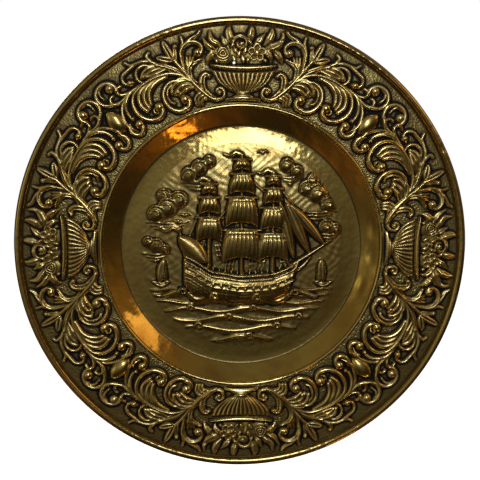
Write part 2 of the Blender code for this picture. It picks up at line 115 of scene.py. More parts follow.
def dent(share, middle, width):
    """One at the middle and falling away on both sides, for grooves, veins and knocks."""
    return np.exp(-((share - middle) / width) ** 2)


class Relief:
    """Heights above the plain sheet at a set of points, raised one form at a time."""

    END_FADE = 0.1
    GROOVE_WIDTH = 0.24
    VEIN_WIDTH = 0.16
    RIB_SPACING = 3.0

    def __init__(self, points, place, unit, fullness=1.0):
        self.points = points
        self.place = place
        self.unit = unit
        self.fullness = fullness
        self.height = np.zeros(len(points))

    def near(self, path, reach):
        low, high = path.min(axis=0) - reach, path.max(axis=0) + reach
        return np.nonzero(((self.points > low) & (self.points < high)).all(axis=1))[0]

    def raise_to(self, which, body):
        self.height[which] = np.maximum(self.height[which], body)

    def ridge(self, places, width, rise, grooves=(), cut=0.5, rounding=0.6):
        """A strand along a path. Half widths and rises are given from root to tip. Grooves are sunk along
        it, each at a share of the half width from the middle."""
        path = self.place(smooth(places))
        width = np.array(width) * self.unit * self.fullness
        which = self.near(path, max(width))
        length = np.r_[0.0, np.cumsum(np.hypot(*np.diff(path, axis=0).T))]
        best = np.full(len(which), 1e9)
        along = np.zeros(len(which))
        points = self.points[which]
        for a, b, s in zip(path[:-1], path[1:], length[:-1]):
            step = b - a
            size = max(float(np.hypot(*step)), 1e-6)
            rel = points - a
            t = np.clip(rel @ step / size ** 2, 0, 1)
            gap = np.hypot(*(rel - t[:, None] * step).T)
            left = np.where(rel[:, 0] * step[1] > rel[:, 1] * step[0], -1.0, 1.0)
            closer = gap < abs(best)
            best[closer] = (gap * left)[closer]
            along[closer] = (s + t * size)[closer] / length[-1]
        side = best / np.interp(along, np.linspace(0, 1, len(width)), width)
        fade = np.clip(along / self.END_FADE, 0, 1) * np.clip((1 - along) / self.END_FADE, 0, 1)
        body = np.interp(along, np.linspace(0, 1, len(rise)), rise)
        body *= np.clip(1 - side ** 2, 0, 1) ** rounding
        for groove in grooves:
            body *= 1 - cut * fade * dent(side, groove, self.GROOVE_WIDTH)
        self.raise_to(which, body)

    def flutes(self, outer, inner, count, width, rise):
        """The folds of a broad leaf: strands set side by side from its outer edge to its inner edge."""
        outer, inner = np.asarray(outer, float), np.asarray(inner, float)
        for share in np.linspace(0, 1, count):
            self.ridge(outer + (inner - outer) * share, width, rise)

    def leaf(self, root, tip, half, rise, vein=0.3, ribs=0.0):
        """A lens-shaped leaf with a sunk vein, and with ribs that lean out from it."""
        half *= self.unit
        a, b = self.place([root, tip])
        which = self.near(np.array([a, b]), half)
        rel = self.points[which] - a
        step = b - a
        size = np.hypot(*step)
        t = rel @ step / size ** 2
        side = (rel[:, 0] * step[1] - rel[:, 1] * step[0]) / size
        edge = half * np.clip(4 * t * (1 - t), 0, 1) ** 0.7 + 1e-6
        body = rise * np.clip(1 - (side / edge) ** 2, 0, 1) ** 0.5
        body *= 1 - vein * dent(side / half, 0, self.VEIN_WIDTH)
        ripple = np.cos(2 * math.pi * (t * size - abs(side)) / self.RIB_SPACING)
        body *= 1 - ribs * ripple * np.clip(abs(side) / edge, 0, 1)
        body[(t < 0) | (t > 1)] = 0
        self.raise_to(which, body)

    def dome(self, centre, radius, rise, rounding=0.55):
        """A round boss."""
        gap = np.hypot(*(self.points - self.place([centre])[0]).T) / (radius * self.unit)
        self.height = np.maximum(self.height, rise * np.clip(1 - gap ** 2, 0, 1) ** rounding)


def scrolls(work):
    """The acanthus scrollwork of half a quarter, from a vase's middle line to the egg's."""
    high = (SCROLL_RISE * 0.75, SCROLL_RISE, SCROLL_RISE * 0.95)
    tip = (SCROLL_RISE * 0.7, SCROLL_RISE * 0.95, SCROLL_RISE * 0.6)
    leaf = (LEAF_RISE * 0.8, LEAF_RISE, LEAF_RISE * 0.6)
    fold = (LEAF_RISE * 0.7, LEAF_RISE * 1.1, LEAF_RISE * 0.9)
    # The broad stem from the node down to the coil at the vase's foot, and its leaves on both sides.
    work.ridge([(60.5, 37), (56.5, 29), (50.5, 20.5), (43, 12.5), (36, 8.4)], (2.4, 5.0, 2.6), high,
               grooves=(-0.45,))
    work.ridge([(42, 11.5), (36, 8.2)] + coil((29.6, 14.8), -66, -262, 6.9, 4.4), (2.4, 2.1, 1.8), high)
    work.dome((29.9, 15.0), 3.3, SCROLL_RISE)
    work.ridge([(46, 14), (48.6, 21), (49, 28), (46.6, 34), (42.4, 36.4), (39, 34)], (2.4, 3.9, 2.4), high,
               grooves=(0.3,))
    work.flutes([(42, 11), (48, 16.6), (55, 18.2), (61, 14.5), (62.4, 7.8)],
                [(42, 9.5), (46, 11), (50, 11.6), (53.6, 9.6), (54.5, 6.4)], 3, (1.6, 2.5, 1.8), fold)
    work.ridge([(58.8, 32), (59.5, 40), (58.3, 46), (54, 50), (48.5, 51.6), (44.5, 53)],
               (2.4, 3.2, 1.4), tip, grooves=(0.2,))
    work.flutes([(59.5, 44), (59, 51), (57.5, 59)],
                [(58, 46), (54, 52), (51, 57)], 3, (1.8, 2.0, 1.2), leaf)
    # The tall curl and its tips beside the flowers.
    work.ridge([(60.4, 34), (62.8, 44), (63.2, 53)] + coil((48.6, 62.3), -12, 232, 14.2, 6.2),
               (1.6, 2.5, 2.3), high, grooves=(0.35,))
    work.ridge(coil((48.4, 62.2), 50, 150, 9.4, 6.6), (1.2, 1.6, 1.3), leaf)
    work.dome((46.0, 60.4), 4.9, SCROLL_RISE * 1.1)
    work.ridge([(61, 63), (56.5, 70.5), (49, 75), (42.5, 78), (39.5, 82)], (1.8, 3.0, 1.4), tip,
               grooves=(0.25,))
    work.ridge([(61.6, 60), (60, 68), (57.5, 74), (57.5, 81)], (1.5, 2.4, 1.3), leaf)
    # The palmette.
    work.ridge([(61, 35), (65, 46), (69, 56), (71.8, 64)], (1.4, 2.0, 2.6), tip)
    work.ridge([(69, 57), (67.6, 66), (66.2, 72)], (1.6, 2.6, 2.4), leaf, grooves=(0.2,))
    work.dome((65.4, 72.6), 2.9, LEAF_RISE)
    work.leaf((71, 57), (74.6, 83), 4.4, SCROLL_RISE, vein=0.72)
    work.leaf((71.4, 59), (86, 69), 4.6, SCROLL_RISE, vein=0.6)
    # The middle branch, its tendrils and its inner leaf.
    work.ridge([(61.4, 34), (70, 46), (79, 54.5), (88, 61.5)], (1.6, 3.4, 3.0), high, grooves=(-0.42, 0.42))
    work.ridge([(84, 58), (91, 66), (98, 71), (105, 72.8), (110.5, 74.4), (113.8, 80)],
               (2.2, 2.4, 1.5), tip)
    work.ridge([(88, 61)] + coil((103, 58.5), 140, -196, 9.6, 8.2), (1.9, 2.1, 1.6), tip)
    work.flutes([(86, 59), (95, 62.4), (102, 61.6), (107, 57.4)],
                [(82, 54), (90, 53.6), (97, 54), (102.5, 55)], 3, (1.9, 2.9, 2.1), fold)
    work.ridge([(88.6, 62), (92.4, 69), (93.2, 74.4), (90.2, 76.6)], (1.8, 2.5, 1.8), tip)
    work.ridge([(104, 72.5), (111, 72)] + coil((118, 62.8), 100, -205, 8.4, 5.2), (1.9, 2.1, 1.7), tip)
    work.dome((119.8, 58.8), 4.2, SCROLL_RISE * 1.1)
    # The low stem with two hooks, and the loop above the egg.
    work.ridge([(112, 51.4), (124, 51.4), (135, 49.6), (143, 49.4)]
               + coil((144.0, 64.8), -62, 266, 12.4, 9.6), (1.8, 2.3, 2.5), high)
    work.ridge([(150, 62.5), (150.4, 68.5), (147.6, 72.6), (143, 73)], (1.1, 1.5, 1.1), leaf)
    work.dome((139.0, 67.6), 5.6, SCROLL_RISE * 1.15)
    work.ridge([(123, 51.8), (129, 52.4)] + coil((130.8, 58.2), -58, 168, 4.8, 4.4), (1.6, 2.0, 1.7), tip)
    work.ridge([(135, 48.8), (140.6, 49.8)] + coil((142.2, 55.2), -58, 160, 4.8, 4.2), (1.6, 2.0, 1.7), tip)
    # The large acanthus scroll: its rim, the folds of its leaf, and the boss it closes on.
    work.ridge([(61, 33.5), (69, 42), (79, 48), (91, 50.4), (104, 50.8), (114, 49.6)]
               + coil((113.6, 30.4), 62, -150, 18.8, 18.8) + coil((111, 19.4), -92, -140, 7.4, 5.6),
               (1.8, 2.2, 3.2), high)
    work.flutes([(96, 49.6), (112, 47.4), (120.5, 41.5), (123.8, 33.5), (121.5, 24.6)],
                [(84, 46.8), (98, 45.6), (106.5, 41), (111.4, 34.6), (113.6, 28.4)], 3,
                (1.9, 3.3, 2.2), fold)
    work.dome((106.4, 21.6), 5.8, SCROLL_RISE * 1.15)
    work.ridge(coil((111.6, 19.6), 60, -170, 3.4, 3.0), (1.2, 1.5, 1.2), leaf)
    # The second scroll, its leaf and its boss.
    work.ridge([(59.5, 32), (65, 36.6), (71, 39.3)] + coil((81, 23), 108, -198, 16.6, 16.0)
               + coil((75.4, 14.2), -62, -150, 7.0, 5.4), (1.8, 2.3, 3.2), high)
    work.dome((73.6, 17.0), 5.8, SCROLL_RISE * 1.15)
    work.dome((76.6, 14.0), 2.0, SCROLL_RISE * 0.9)
    work.ridge([(82, 36.6), (88.5, 33), (92, 26.5), (91.6, 20.4), (88.4, 17.6)], (1.2, 1.7, 1.9), tip)
    work.flutes([(60.5, 31.5), (68, 35.8), (76, 36.2), (82.6, 33), (85.6, 28.4)],
                [(58.5, 26), (64, 26.8), (69.6, 26.2), (74, 24.6), (77.5, 23.4)], 3, (1.7, 3.0, 2.4), fold)
    work.dome((78.6, 26.4), 2.9, LEAF_RISE * 1.1)
    # The small scroll beside the egg: a short strand with a knob, and a long one that closes on a boss.
    work.ridge([(118, 50.6), (127, 49.8), (134, 46), (139.2, 40), (141.6, 33.5), (141.4, 28)],
               (1.8, 2.4, 1.9), tip)
    work.dome((140.6, 27.6), 2.9, SCROLL_RISE)
    work.ridge([(133, 49), (141, 44.4), (146.5, 37.4), (150.4, 29)]
               + coil((143.8, 17.4), 42, -200, 8.8, 7.0), (1.8, 2.3, 3.0), high)
    work.dome((138.6, 18.6), 5.6, SCROLL_RISE * 1.15)
    work.ridge([(147, 26), (148.6, 20), (146, 14.4)], (1.0, 1.4, 1.0), leaf)


EGG_PLACE = (STRIP_LENGTH, 37.0)
EGG_HALF_LENGTH = 15.6
EGG_HALF_WIDTH = 9.4
EGG_RISE = 6.6


def egg(work):
    """The boss between two quarters, which is pointed at both ends."""
    middle = on_border(EGG_PLACE)
    out = middle / np.hypot(*middle)
    rel = (work.points - middle) / BORDER_UNIT
    v = rel @ out / EGG_HALF_LENGTH
    u = (rel[:, 0] * out[1] - rel[:, 1] * out[0]) / (EGG_HALF_WIDTH * np.clip(1 - v ** 2, 0.001, 1) ** 0.82)
    body = EGG_RISE * np.clip(1 - u ** 2, 0, 1) ** 0.5 * np.clip(1 - v ** 2, 0, 1) ** 0.6
    work.raise_to(slice(None), body)


# The vase's outline, as its half width at each height over the lip, and how far it stands out there.
VASE_OUTLINE_Y = (4.6, 5.2, 8.0, 8.3, 10.0, 10.8, 12.0, 13.2, 16.0, 18.5, 21.0, 24.5, 28.0, 34.0, 42.0)
VASE_HALF_WIDTH = (23.5, 24.5, 24.5, 15.0, 14.0, 10.5, 9.6, 10.6, 17.5, 22.0, 25.8, 30.2, 33.2, 35.6, 36.2)
VASE_STEPS_Y = (4.6, 5.4, 6.2, 7.4, 8.0, 8.4, 10.0, 10.8, 12.0, 13.8, 22, 34, 36, 38)
VASE_STEPS = (0.0, 0.8, 0.6, 0.8, 0.75, 0.62, 0.9, 0.62, 0.9, 0.74, 0.92, 0.98, 0.8, 0.8)
VASE_RISE = 6.0
VASE_FOOT_Y = 4.6
VASE_STEM_Y = 14.5
VASE_TOP_Y = 38.0
VASE_BOW = 0.0047
VASE_LOBES = 6.5
LOBE_HEAD_Y = 33.0
LOBE_RISE = 1.8
LOBE_GAP_DEPTH = 1.2
RIM_MIDDLE_Y = 38.8
RIM_HALF_LENGTH = 35.8
RIM_HALF_WIDTH = 3.5
RIM_TAPER = 0.0019


def vase(work, x, y):
    """A wide bowl with narrow raised lobes under a bowed rim, on a stepped foot, seen from the front."""
    level = y - VASE_BOW * x ** 2 * np.clip((y - 16) / 24, 0, 1)
    edge = np.interp(level, VASE_OUTLINE_Y, VASE_HALF_WIDTH)
    u = np.clip(x / edge, -1, 1)
    body = VASE_RISE * np.sqrt(1 - u ** 2) * np.interp(level, VASE_STEPS_Y, VASE_STEPS)
    # The lobes start at the stem and end in round heads below the rim.
    lobe = (x / edge * VASE_LOBES + 0.5) % 1.0 - 0.5
    head = LOBE_HEAD_Y + 1.6 * np.sqrt(np.clip(1 - (2.2 * lobe) ** 2, 0, 1))
    swell = np.clip(1 - (2.6 * lobe) ** 2, 0, 1) ** 0.6 * np.clip((head - level) / 1.2, 0, 1)
    inside = (level > VASE_STEM_Y) & (level < LOBE_HEAD_Y + 2.6)
    body += np.where(inside & (abs(x) < edge * 0.97), LOBE_RISE * swell - LOBE_GAP_DEPTH, 0)
    body[(level < VASE_FOOT_Y) | (level > VASE_TOP_Y) | (abs(x) >= edge)] = 0
    rim_half = RIM_HALF_WIDTH - RIM_TAPER * x ** 2
    rim = VASE_RISE * 1.15 * np.clip(1 - ((level - RIM_MIDDLE_Y) / rim_half) ** 2, 0, 1) ** 0.5
    rim *= 1 - 0.18 * dent(level, RIM_MIDDLE_Y + 2.2, 0.5)
    rim[abs(x) > RIM_HALF_LENGTH] = 0
    work.height = np.maximum(work.height, np.maximum(body, rim))


FLOWER_RISE = 5.4
ROSE_PLACE = (-21.0, 55.2)
FLOWER_PLACE = (13.7, 55.8)
BUD_PLACE = (-1.6, 64.0)
# The bunch's leaves: the path from root to tip, the half widths along it, and the place of the vein.
BUNCH_LEAVES = (
    (((5.5, 67), (6.8, 75), (7.2, 81), (6.4, 85)), (2.4, 4.0, 3.2, 0.8), -0.3),
    (((21, 65), (24.6, 71), (26, 77), (25.6, 84)), (2.0, 4.2, 3.4, 0.8), 0.3),
    (((11, 63), (15, 69), (19.5, 75.5)), (2.0, 3.6, 0.8), 0.0),
    (((21, 59), (28, 62.5), (34, 67), (38.4, 74)), (2.4, 5.2, 4.4, 0.8), 0.25),
    (((20, 58.5), (25, 56), (28.6, 51.6), (29, 47.6)), (1.8, 3.6, 2.8, 0.8), 0.0),
    (((29, 60), (34, 57.4), (38.5, 53), (41.5, 48.6)), (1.8, 4.0, 3.2, 0.8), -0.3),
    (((-10.5, 64), (-12.8, 71), (-13.8, 78), (-12.2, 85)), (2.4, 4.6, 3.6, 0.8), 0.3),
    (((-15, 61), (-18, 67), (-20.5, 73.6)), (2.0, 3.8, 0.8), 0.0),
    (((-21, 61), (-26, 66), (-30.6, 71), (-31, 80)), (2.0, 3.6, 3.2, 0.8), -0.3),
    (((-27, 58), (-32, 62.4), (-35.6, 66.6), (-38, 74)), (1.8, 3.6, 2.8, 0.8), 0.3),
    (((-26, 57), (-31.6, 55.4), (-36.4, 51.8), (-38.6, 47.2)), (2.0, 4.4, 3.6, 0.8), -0.3))
# The small loose petals: root, tip and half width.
LOOSE_PETALS = (
    ((-9.4, 60.5), (-6.6, 54.0), 2.3), ((-3.6, 57.6), (-5.6, 50.0), 2.4), ((2.6, 60.8), (0.8, 53.4), 2.5),
    ((-11.6, 52.6), (-8.4, 45.0), 2.4), ((-1.6, 52.6), (0.6, 44.6), 2.5), ((5.2, 50.8), (4.4, 44.4), 2.2),
    ((-29.5, 50.0), (-27.0, 45.6), 2.4), ((8.2, 63.8), (4.0, 68.6), 2.2), ((21.6, 50.2), (24.4, 46.2), 2.2),
    ((-12.2, 60.8), (-9.4, 66.0), 2.0))


def flowers(work):
    """The bunch in a vase: a rose, a five-petalled flower, a rosebud between them, and leaves."""
    for path, width, vein in BUNCH_LEAVES:
        work.ridge(path, width, (2.6, LEAF_RISE * 1.15, LEAF_RISE, 2.0), grooves=(vein,), cut=0.3)
    work.ridge([(33.6, 70), (36.6, 74), (36.0, 80)], (1.2, 2.2, 1.2), (2.0, LEAF_RISE * 0.9, 2.0))
    for place, size in (((-4.0, 55.5), 14.0), ((10.0, 53.0), 13.0), ((-22.0, 53.5), 11.0)):
        work.dome(place, size, 2.4, rounding=0.3)
    # The rose is a boss with turned rings of petals.
    rel = (work.points - work.place([ROSE_PLACE])[0]) / BORDER_UNIT
    gap = np.hypot(*rel.T)
    turn = np.arctan2(rel[:, 1], rel[:, 0])
    ring = gap / 2.8 + 0.16 * np.sin(3 * turn) + 0.07 * np.sin(5 * turn)
    rose = FLOWER_RISE * np.clip(1 - (gap / 9.0) ** 2, 0, 1) ** 0.4
    work.raise_to(slice(None), rose * (0.70 + 0.30 * np.cos(2 * math.pi * ring)))
    # The five-petalled flower: deep cupped petals with thin rims round a seeded boss.
    for petal in range(5):
        turn = math.radians(20 + 72 * petal)
        centre = (FLOWER_PLACE[0] + 5.6 * math.cos(turn), FLOWER_PLACE[1] + 5.6 * math.sin(turn))
        gap = np.hypot(*(work.points - work.place([centre])[0]).T) / (4.3 * BORDER_UNIT)
        inside = gap < 1
        cup = FLOWER_RISE * (0.35 + 0.65 * gap ** 3) * np.clip((1 - gap) * 4, 0, 1) ** 0.5
        work.height[inside] = cup[inside]
    work.dome(FLOWER_PLACE, 2.7, FLOWER_RISE * 0.9)
    # The rosebud in its two curled petals, and the small petals that fill the bunch.
    work.ridge(coil((-3.0, 65.2), 205, -235, 7.4, 6.4), (1.4, 2.3, 1.4), (3.6, FLOWER_RISE * 0.95, 3.4),
               grooves=(0.2,))
    work.ridge(coil((-2.0, 64.2), 20, -215, 4.6, 4.0), (1.2, 1.7, 1.2), (3.8, FLOWER_RISE, 3.8))
    work.dome(BUD_PLACE, 2.9, FLOWER_RISE * 0.9)
    for root, tip, half in LOOSE_PETALS:
        work.leaf(root, tip, half, FLOWER_RISE * 0.85, vein=0.15)
    # Seeds on the bud and on the boss.
    for centre, ring in ((BUD_PLACE, 2.0), (FLOWER_PLACE, 1.6)):
        for turn in np.radians(range(0, 360, 60)):
            work.dome((centre[0] + ring * math.cos(turn), centre[1] + ring * math.sin(turn)), 0.9,
                      FLOWER_RISE * 1.02, rounding=0.3)


MATTING_RISE = 0.42
MATTING_SPACING = 2.1
MATTING_SEED = 7
MATTING_MARK = 0.62


def punch_marks(x, y):
    """The domes that a matting punch leaves side by side, from 0 to 1, on a seeded uneven lattice."""
    seed = np.random.default_rng(MATTING_SEED)
    x, y = x / MATTING_SPACING, y / MATTING_SPACING
    columns, rows = int(x.max()) + 3, int(y.max()) + 3
    shift = seed.uniform(0.15, 0.85, (2, rows, columns))
    level = seed.uniform(0.45, 1.0, (rows, columns))
    best = np.full(x.shape, 9.0)
    height = np.zeros(x.shape)
    for across in (-1, 0, 1):
        for along in (-1, 0, 1):
            column = np.clip(np.floor(x).astype(int) + along, 0, columns - 1)
            row = np.clip(np.floor(y).astype(int) + across, 0, rows - 1)
            gap = np.hypot(column + shift[0][row, column] - x, row + shift[1][row, column] - y)
            closer = gap < best
            best[closer] = gap[closer]
            height[closer] = level[row, column][closer]
    return height * np.clip(1 - (best / MATTING_MARK) ** 2, 0, 1)


def soften(heights, reach, wrap):
    """Heights blurred over so many grid steps; wrap joins the first and the last column."""
    span = int(3 * reach) + 1
    weight = np.exp(-0.5 * (np.arange(-span, span + 1) / reach) ** 2)
    weight /= weight.sum()
    out = np.pad(heights, ((span, span), (0, 0)), mode="edge")
    out = sum(w * out[k:k + heights.shape[0]] for k, w in enumerate(weight))
    if wrap:
        out = np.concatenate([out[:, -1 - span:-1], out, out[:, 1:1 + span]], axis=1)
    else:
        out = np.pad(out, ((0, 0), (span, span)), mode="edge")
    return sum(w * out[:, k:k + heights.shape[1]] for k, w in enumerate(weight))


def shrink(heights, steps):
    """The lowest height within so many grid steps, which draws the raised forms in."""
    for step in range(steps):
        edge = np.pad(heights, 1, mode="edge")
        across = np.minimum(edge[:-2, 1:-1], edge[2:, 1:-1])
        along = np.minimum(edge[1:-1, :-2], edge[1:-1, 2:])
        heights = np.minimum(heights, np.minimum(across, along))
    return heights


# How far around a place its level is taken, and the depth or height in it that counts in full.
FOOT_REACH, FOOT_DEPTH = 1.15, 0.95
# In a whole pocket between forms the dirt and painted shade are this share of those at the foot.
POCKET_REACH, POCKET_DEPTH, POCKET_DIRT_AND_SHADE = 4.0, 2.0, 0.35
CREST_REACH, CREST_HEIGHT = 2.0, 0.9


def wear_and_painted_light(relief, spacing, wrap):
    """How deep each place lies in a recess and how far it stands out, both from 0 to 1. The first is
    painted dark with dirt and shade, the second bright with rubbing and a painted highlight. The dirt and
    painted shade lie thick along the foot of the forms and thinly in the whole of a pocket between them."""
    foot = np.clip((soften(relief, FOOT_REACH / spacing, wrap) - relief) / FOOT_DEPTH, 0, 1)
    pocket = np.clip((soften(relief, POCKET_REACH / spacing, wrap) - relief) / POCKET_DEPTH, 0, 1)
    crest = np.clip((relief - soften(relief, CREST_REACH / spacing, wrap)) / CREST_HEIGHT, 0, 1)
    return np.clip(foot + POCKET_DIRT_AND_SHADE * pocket, 0, 1), crest


def in_row_frame(plane, height):
    """Places in the plate's plane and heights over its floor, in millimetres, as points of the frame."""
    x = axis.x + plane[..., 0] * MM
    z = axis.z + plane[..., 1] * MM
    return np.stack([x, FLOOR_FRONT - height * MM, z], axis=-1)


def sheet_of_quads(name, columns, rows, shape, material, weld=False, back=False):
    """A grid laid over a surface. shape takes the places along and across it, from 0 to 1, and gives the
    points and how far each is recessed, rubbed and matted: the recesses are painted dark with dirt and
    shade, the rubbed places bright with a painted highlight."""
    work = bmesh.new()
    bmesh.ops.create_grid(work, x_segments=columns, y_segments=rows, size=0.5)
    if back:
        bmesh.ops.reverse_faces(work, faces=work.faces)
    mesh = bpy.data.meshes.new(name)
    work.to_mesh(mesh)
    work.free()
    grid = np.empty(len(mesh.vertices) * 3)
    mesh.vertices.foreach_get("co", grid)
    along, across = grid.reshape(-1, 3)[:, :2].T + 0.5
    points, *marks = shape(along, across)
    mesh.vertices.foreach_set("co", points.astype(np.float32).ravel())
    for mark, values in zip(("recess", "crest", "matted"), marks):
        mesh.attributes.new(mark, "FLOAT", "POINT").data.foreach_set("value", values.astype(np.float32))
    if weld:
        work = bmesh.new()
        work.from_mesh(mesh)
        bmesh.ops.remove_doubles(work, verts=work.verts, dist=0.001 * MM)
        work.to_mesh(mesh)
        work.free()
    mesh.shade_smooth()
    mesh.materials.append(material)
    mesh.update()
    piece = bpy.data.objects.new(name, mesh)
    bpy.context.scene.collection.objects.link(piece)
    return piece


def fit_to_frame(piece):
    """Every piece is of the one brass sheet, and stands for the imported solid."""
    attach(piece, "root")
    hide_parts(PLATE)


def add(tree, kind, **inputs):
    """A node with its inputs linked or set by name."""
    node = tree.nodes.new(kind)
    for name, value in inputs.items():
        socket = node.inputs[name.replace("_", " ")]
        if isinstance(value, bpy.types.NodeSocket):
            tree.links.new(value, socket)
        else:
            socket.default_value = value
    return node


def calculate(tree, operation, first, second=0.0, clamp=False):
    """The result of a Math node."""
    node = tree.nodes.new("ShaderNodeMath")
    node.operation = operation
    node.use_clamp = clamp
    for socket, value in zip(node.inputs, (first, second)):
        if isinstance(value, bpy.types.NodeSocket):
            tree.links.new(value, socket)
        else:
            socket.default_value = value
    return node.outputs[0]


def blend_colours(tree, share, first, second, kind="MIX"):
    """Two colours mixed, or the second added to the first, by a mask."""
    node = tree.nodes.new("ShaderNodeMix")
    node.data_type = "RGBA"
    node.blend_type = kind
    tree.links.new(share, node.inputs["Factor"])
    for socket, value in ((node.inputs[6], first), (node.inputs[7], second)):
        if isinstance(value, bpy.types.NodeSocket):
            tree.links.new(value, socket)
        else:
            socket.default_value = value
    return node.outputs[2]


def patina_and_painted_light_group():
    """Aged brass: patina and painted shade in the recesses, tarnish in cloudy patches, rubbed crests that
    carry a painted highlight, and a matted ground.
    """
    tree = bpy.data.node_groups.new("aged_brass_patina_and_painted_light", "ShaderNodeTree")
    sockets = tree.interface
    for name, value in (("Recess", 0.0), ("Crest", 0.0), ("Dirt and shade amount", 0.5), ("Matting", 0.0), ("Gloss", 0.22)):
        sockets.new_socket(name=name, in_out="INPUT", socket_type="NodeSocketFloat").default_value = value
    for name, value in (("Rubbed", (0.78, 0.59, 0.235, 1)), ("Brass", (0.54, 0.38, 0.108, 1)),
                        ("Tarnish", (0.46, 0.28, 0.07, 1)), ("Ground", (0.30, 0.215, 0.070, 1)),
                        ("Patina and shade", (0.012, 0.010, 0.008, 1))):
        sockets.new_socket(name=name, in_out="INPUT", socket_type="NodeSocketColor").default_value = value
    sockets.new_socket(name="Colour", in_out="OUTPUT", socket_type="NodeSocketColor")
    for name in ("Roughness", "Metal", "Height"):
        sockets.new_socket(name=name, in_out="OUTPUT", socket_type="NodeSocketFloat")
    given = tree.nodes.new("NodeGroupInput").outputs
    place = tree.nodes.new("ShaderNodeTexCoord").outputs["Object"]
    cloud = add(tree, "ShaderNodeTexNoise", Vector=place, Scale=28.0, Detail=4.0).outputs["Fac"]
    grain = add(tree, "ShaderNodeTexNoise", Vector=place, Scale=420.0, Detail=3.0).outputs["Fac"]
    hammered = add(tree, "ShaderNodeTexNoise", Vector=place, Scale=110.0, Detail=1.0).outputs["Fac"]
    punched = add(tree, "ShaderNodeTexVoronoi", Vector=place, Scale=560.0).outputs["Distance"]
    # Dirt and painted shade are deepest in the recesses and spread by the cloudy and the fine noise.
    fine_spread = calculate(tree, "MULTIPLY", calculate(tree, "SUBTRACT", grain, 0.5), 0.4)
    cloudy_spread = calculate(tree, "MULTIPLY", calculate(tree, "SUBTRACT", cloud, 0.5), 0.7)
    spread = calculate(tree, "ADD", fine_spread, cloudy_spread)
    dirt_and_shade = calculate(tree, "MULTIPLY", given["Dirt and shade amount"], calculate(tree, "ADD", given["Recess"], spread))
    dirt_and_shade = calculate(tree, "MULTIPLY", dirt_and_shade, 2.0, clamp=True)
    stain = calculate(tree, "MULTIPLY", calculate(tree, "SUBTRACT", cloud, 0.42), 4.0, clamp=True)
    colour = blend_colours(tree, stain, given["Brass"], given["Tarnish"])
    ground = calculate(tree, "MULTIPLY", given["Matting"], 0.8)
    colour = blend_colours(tree, ground, colour, given["Ground"])
    # The near-black colour in the recesses is patina and painted shade.
    colour = blend_colours(tree, dirt_and_shade, colour, given["Patina and shade"])
    # The crests are painted a brighter brass, for rubbing and as a painted highlight.
    colour = blend_colours(tree, given["Crest"], colour, given["Rubbed"])
    rough = calculate(tree, "ADD", given["Gloss"], calculate(tree, "MULTIPLY", dirt_and_shade, 0.30))
    rough = calculate(tree, "ADD", rough, calculate(tree, "MULTIPLY", grain, 0.10))
    rubbed = calculate(tree, "MULTIPLY", given["Crest"], 0.08)
    rough = calculate(tree, "SUBTRACT", rough, rubbed, clamp=True)
    metal = calculate(tree, "SUBTRACT", 1.0, calculate(tree, "MULTIPLY", dirt_and_shade, 0.55), clamp=True)
    height = calculate(tree, "MULTIPLY", given["Matting"], calculate(tree, "MINIMUM", punched, 0.6))
    height = calculate(tree, "ADD", height, calculate(tree, "MULTIPLY", hammered, 1.2))
    result = add(tree, "NodeGroupOutput", Colour=colour, Roughness=rough, Metal=metal, Height=height)
    result.is_active_output = True
    return tree


aged_brass_patina_and_painted_light = patina_and_painted_light_group()


def brass(name, dirt_and_shade_amount, bump, gloss, **colours):
    """A brass finish of one part of the plate, from the shared patina, painted shade and painted highlight.
    """
    finish = bpy.data.materials.new(name)
    finish.use_nodes = True
    tree = finish.node_tree
    shader = tree.nodes["Principled BSDF"]
    patina_and_painted_light = tree.nodes.new("ShaderNodeGroup")
    patina_and_painted_light.node_tree = aged_brass_patina_and_painted_light
    patina_and_painted_light.inputs["Dirt and shade amount"].default_value = dirt_and_shade_amount
    patina_and_painted_light.inputs["Gloss"].default_value = gloss
    for socket, value in colours.items():
        patina_and_painted_light.inputs[socket].default_value = value
    for mark, socket in (("recess", "Recess"), ("crest", "Crest"), ("matted", "Matting")):
        worn = tree.nodes.new("ShaderNodeAttribute")
        worn.attribute_name = mark
        tree.links.new(worn.outputs["Fac"], patina_and_painted_light.inputs[socket])
    dents = add(tree, "ShaderNodeBump", Strength=bump, Distance=0.0006, Height=patina_and_painted_light.outputs["Height"])
    tree.links.new(patina_and_painted_light.outputs["Colour"], shader.inputs["Base Color"])
    tree.links.new(patina_and_painted_light.outputs["Roughness"], shader.inputs["Roughness"])
    tree.links.new(patina_and_painted_light.outputs["Metal"], shader.inputs["Metallic"])
    tree.links.new(dents.outputs["Normal"], shader.inputs["Normal"])
    shader.inputs["Specular IOR Level"].default_value = 0.2
    return finish


chased_brass = brass("chased_brass", dirt_and_shade_amount=0.8, bump=0.4, gloss=0.2, Brass=(0.48, 0.335, 0.092, 1))

border_radii = np.linspace(BORDER_INNER, BORDER_OUTER, BORDER_ROWS + 1)
strip_x = np.linspace(-STRIP_LENGTH, STRIP_LENGTH, BORDER_COLUMNS + 1)
strip_y = (border_radii - LIP_RADIUS) / BORDER_UNIT
grid_x, grid_y = np.meshgrid(strip_x, strip_y)


def blank_strip(x, y):
    """A quarter of the border as plain ground, ready to be raised at these places of the strip."""
    places = np.stack([x, y], axis=-1).reshape(-1, 2)
    return Relief(on_border(places), on_border, BORDER_UNIT, STRAND_FULLNESS)


# The scrolls and the egg are the same on both sides of the vase, and the flowers in it are not.
mirrored = blank_strip(abs(grid_x), grid_y)
scrolls(mirrored)
egg(mirrored)
quarter = blank_strip(grid_x, grid_y)
quarter.height = mirrored.height
vase(quarter, grid_x.ravel(), grid_y.ravel())
flowers(quarter)
border_relief = soften(quarter.height.reshape(grid_x.shape), BORDER_SOFTENING, wrap=True)
border_recess, border_crest = wear_and_painted_light(border_relief, STRIP_LENGTH * 2 / BORDER_COLUMNS, wrap=True)
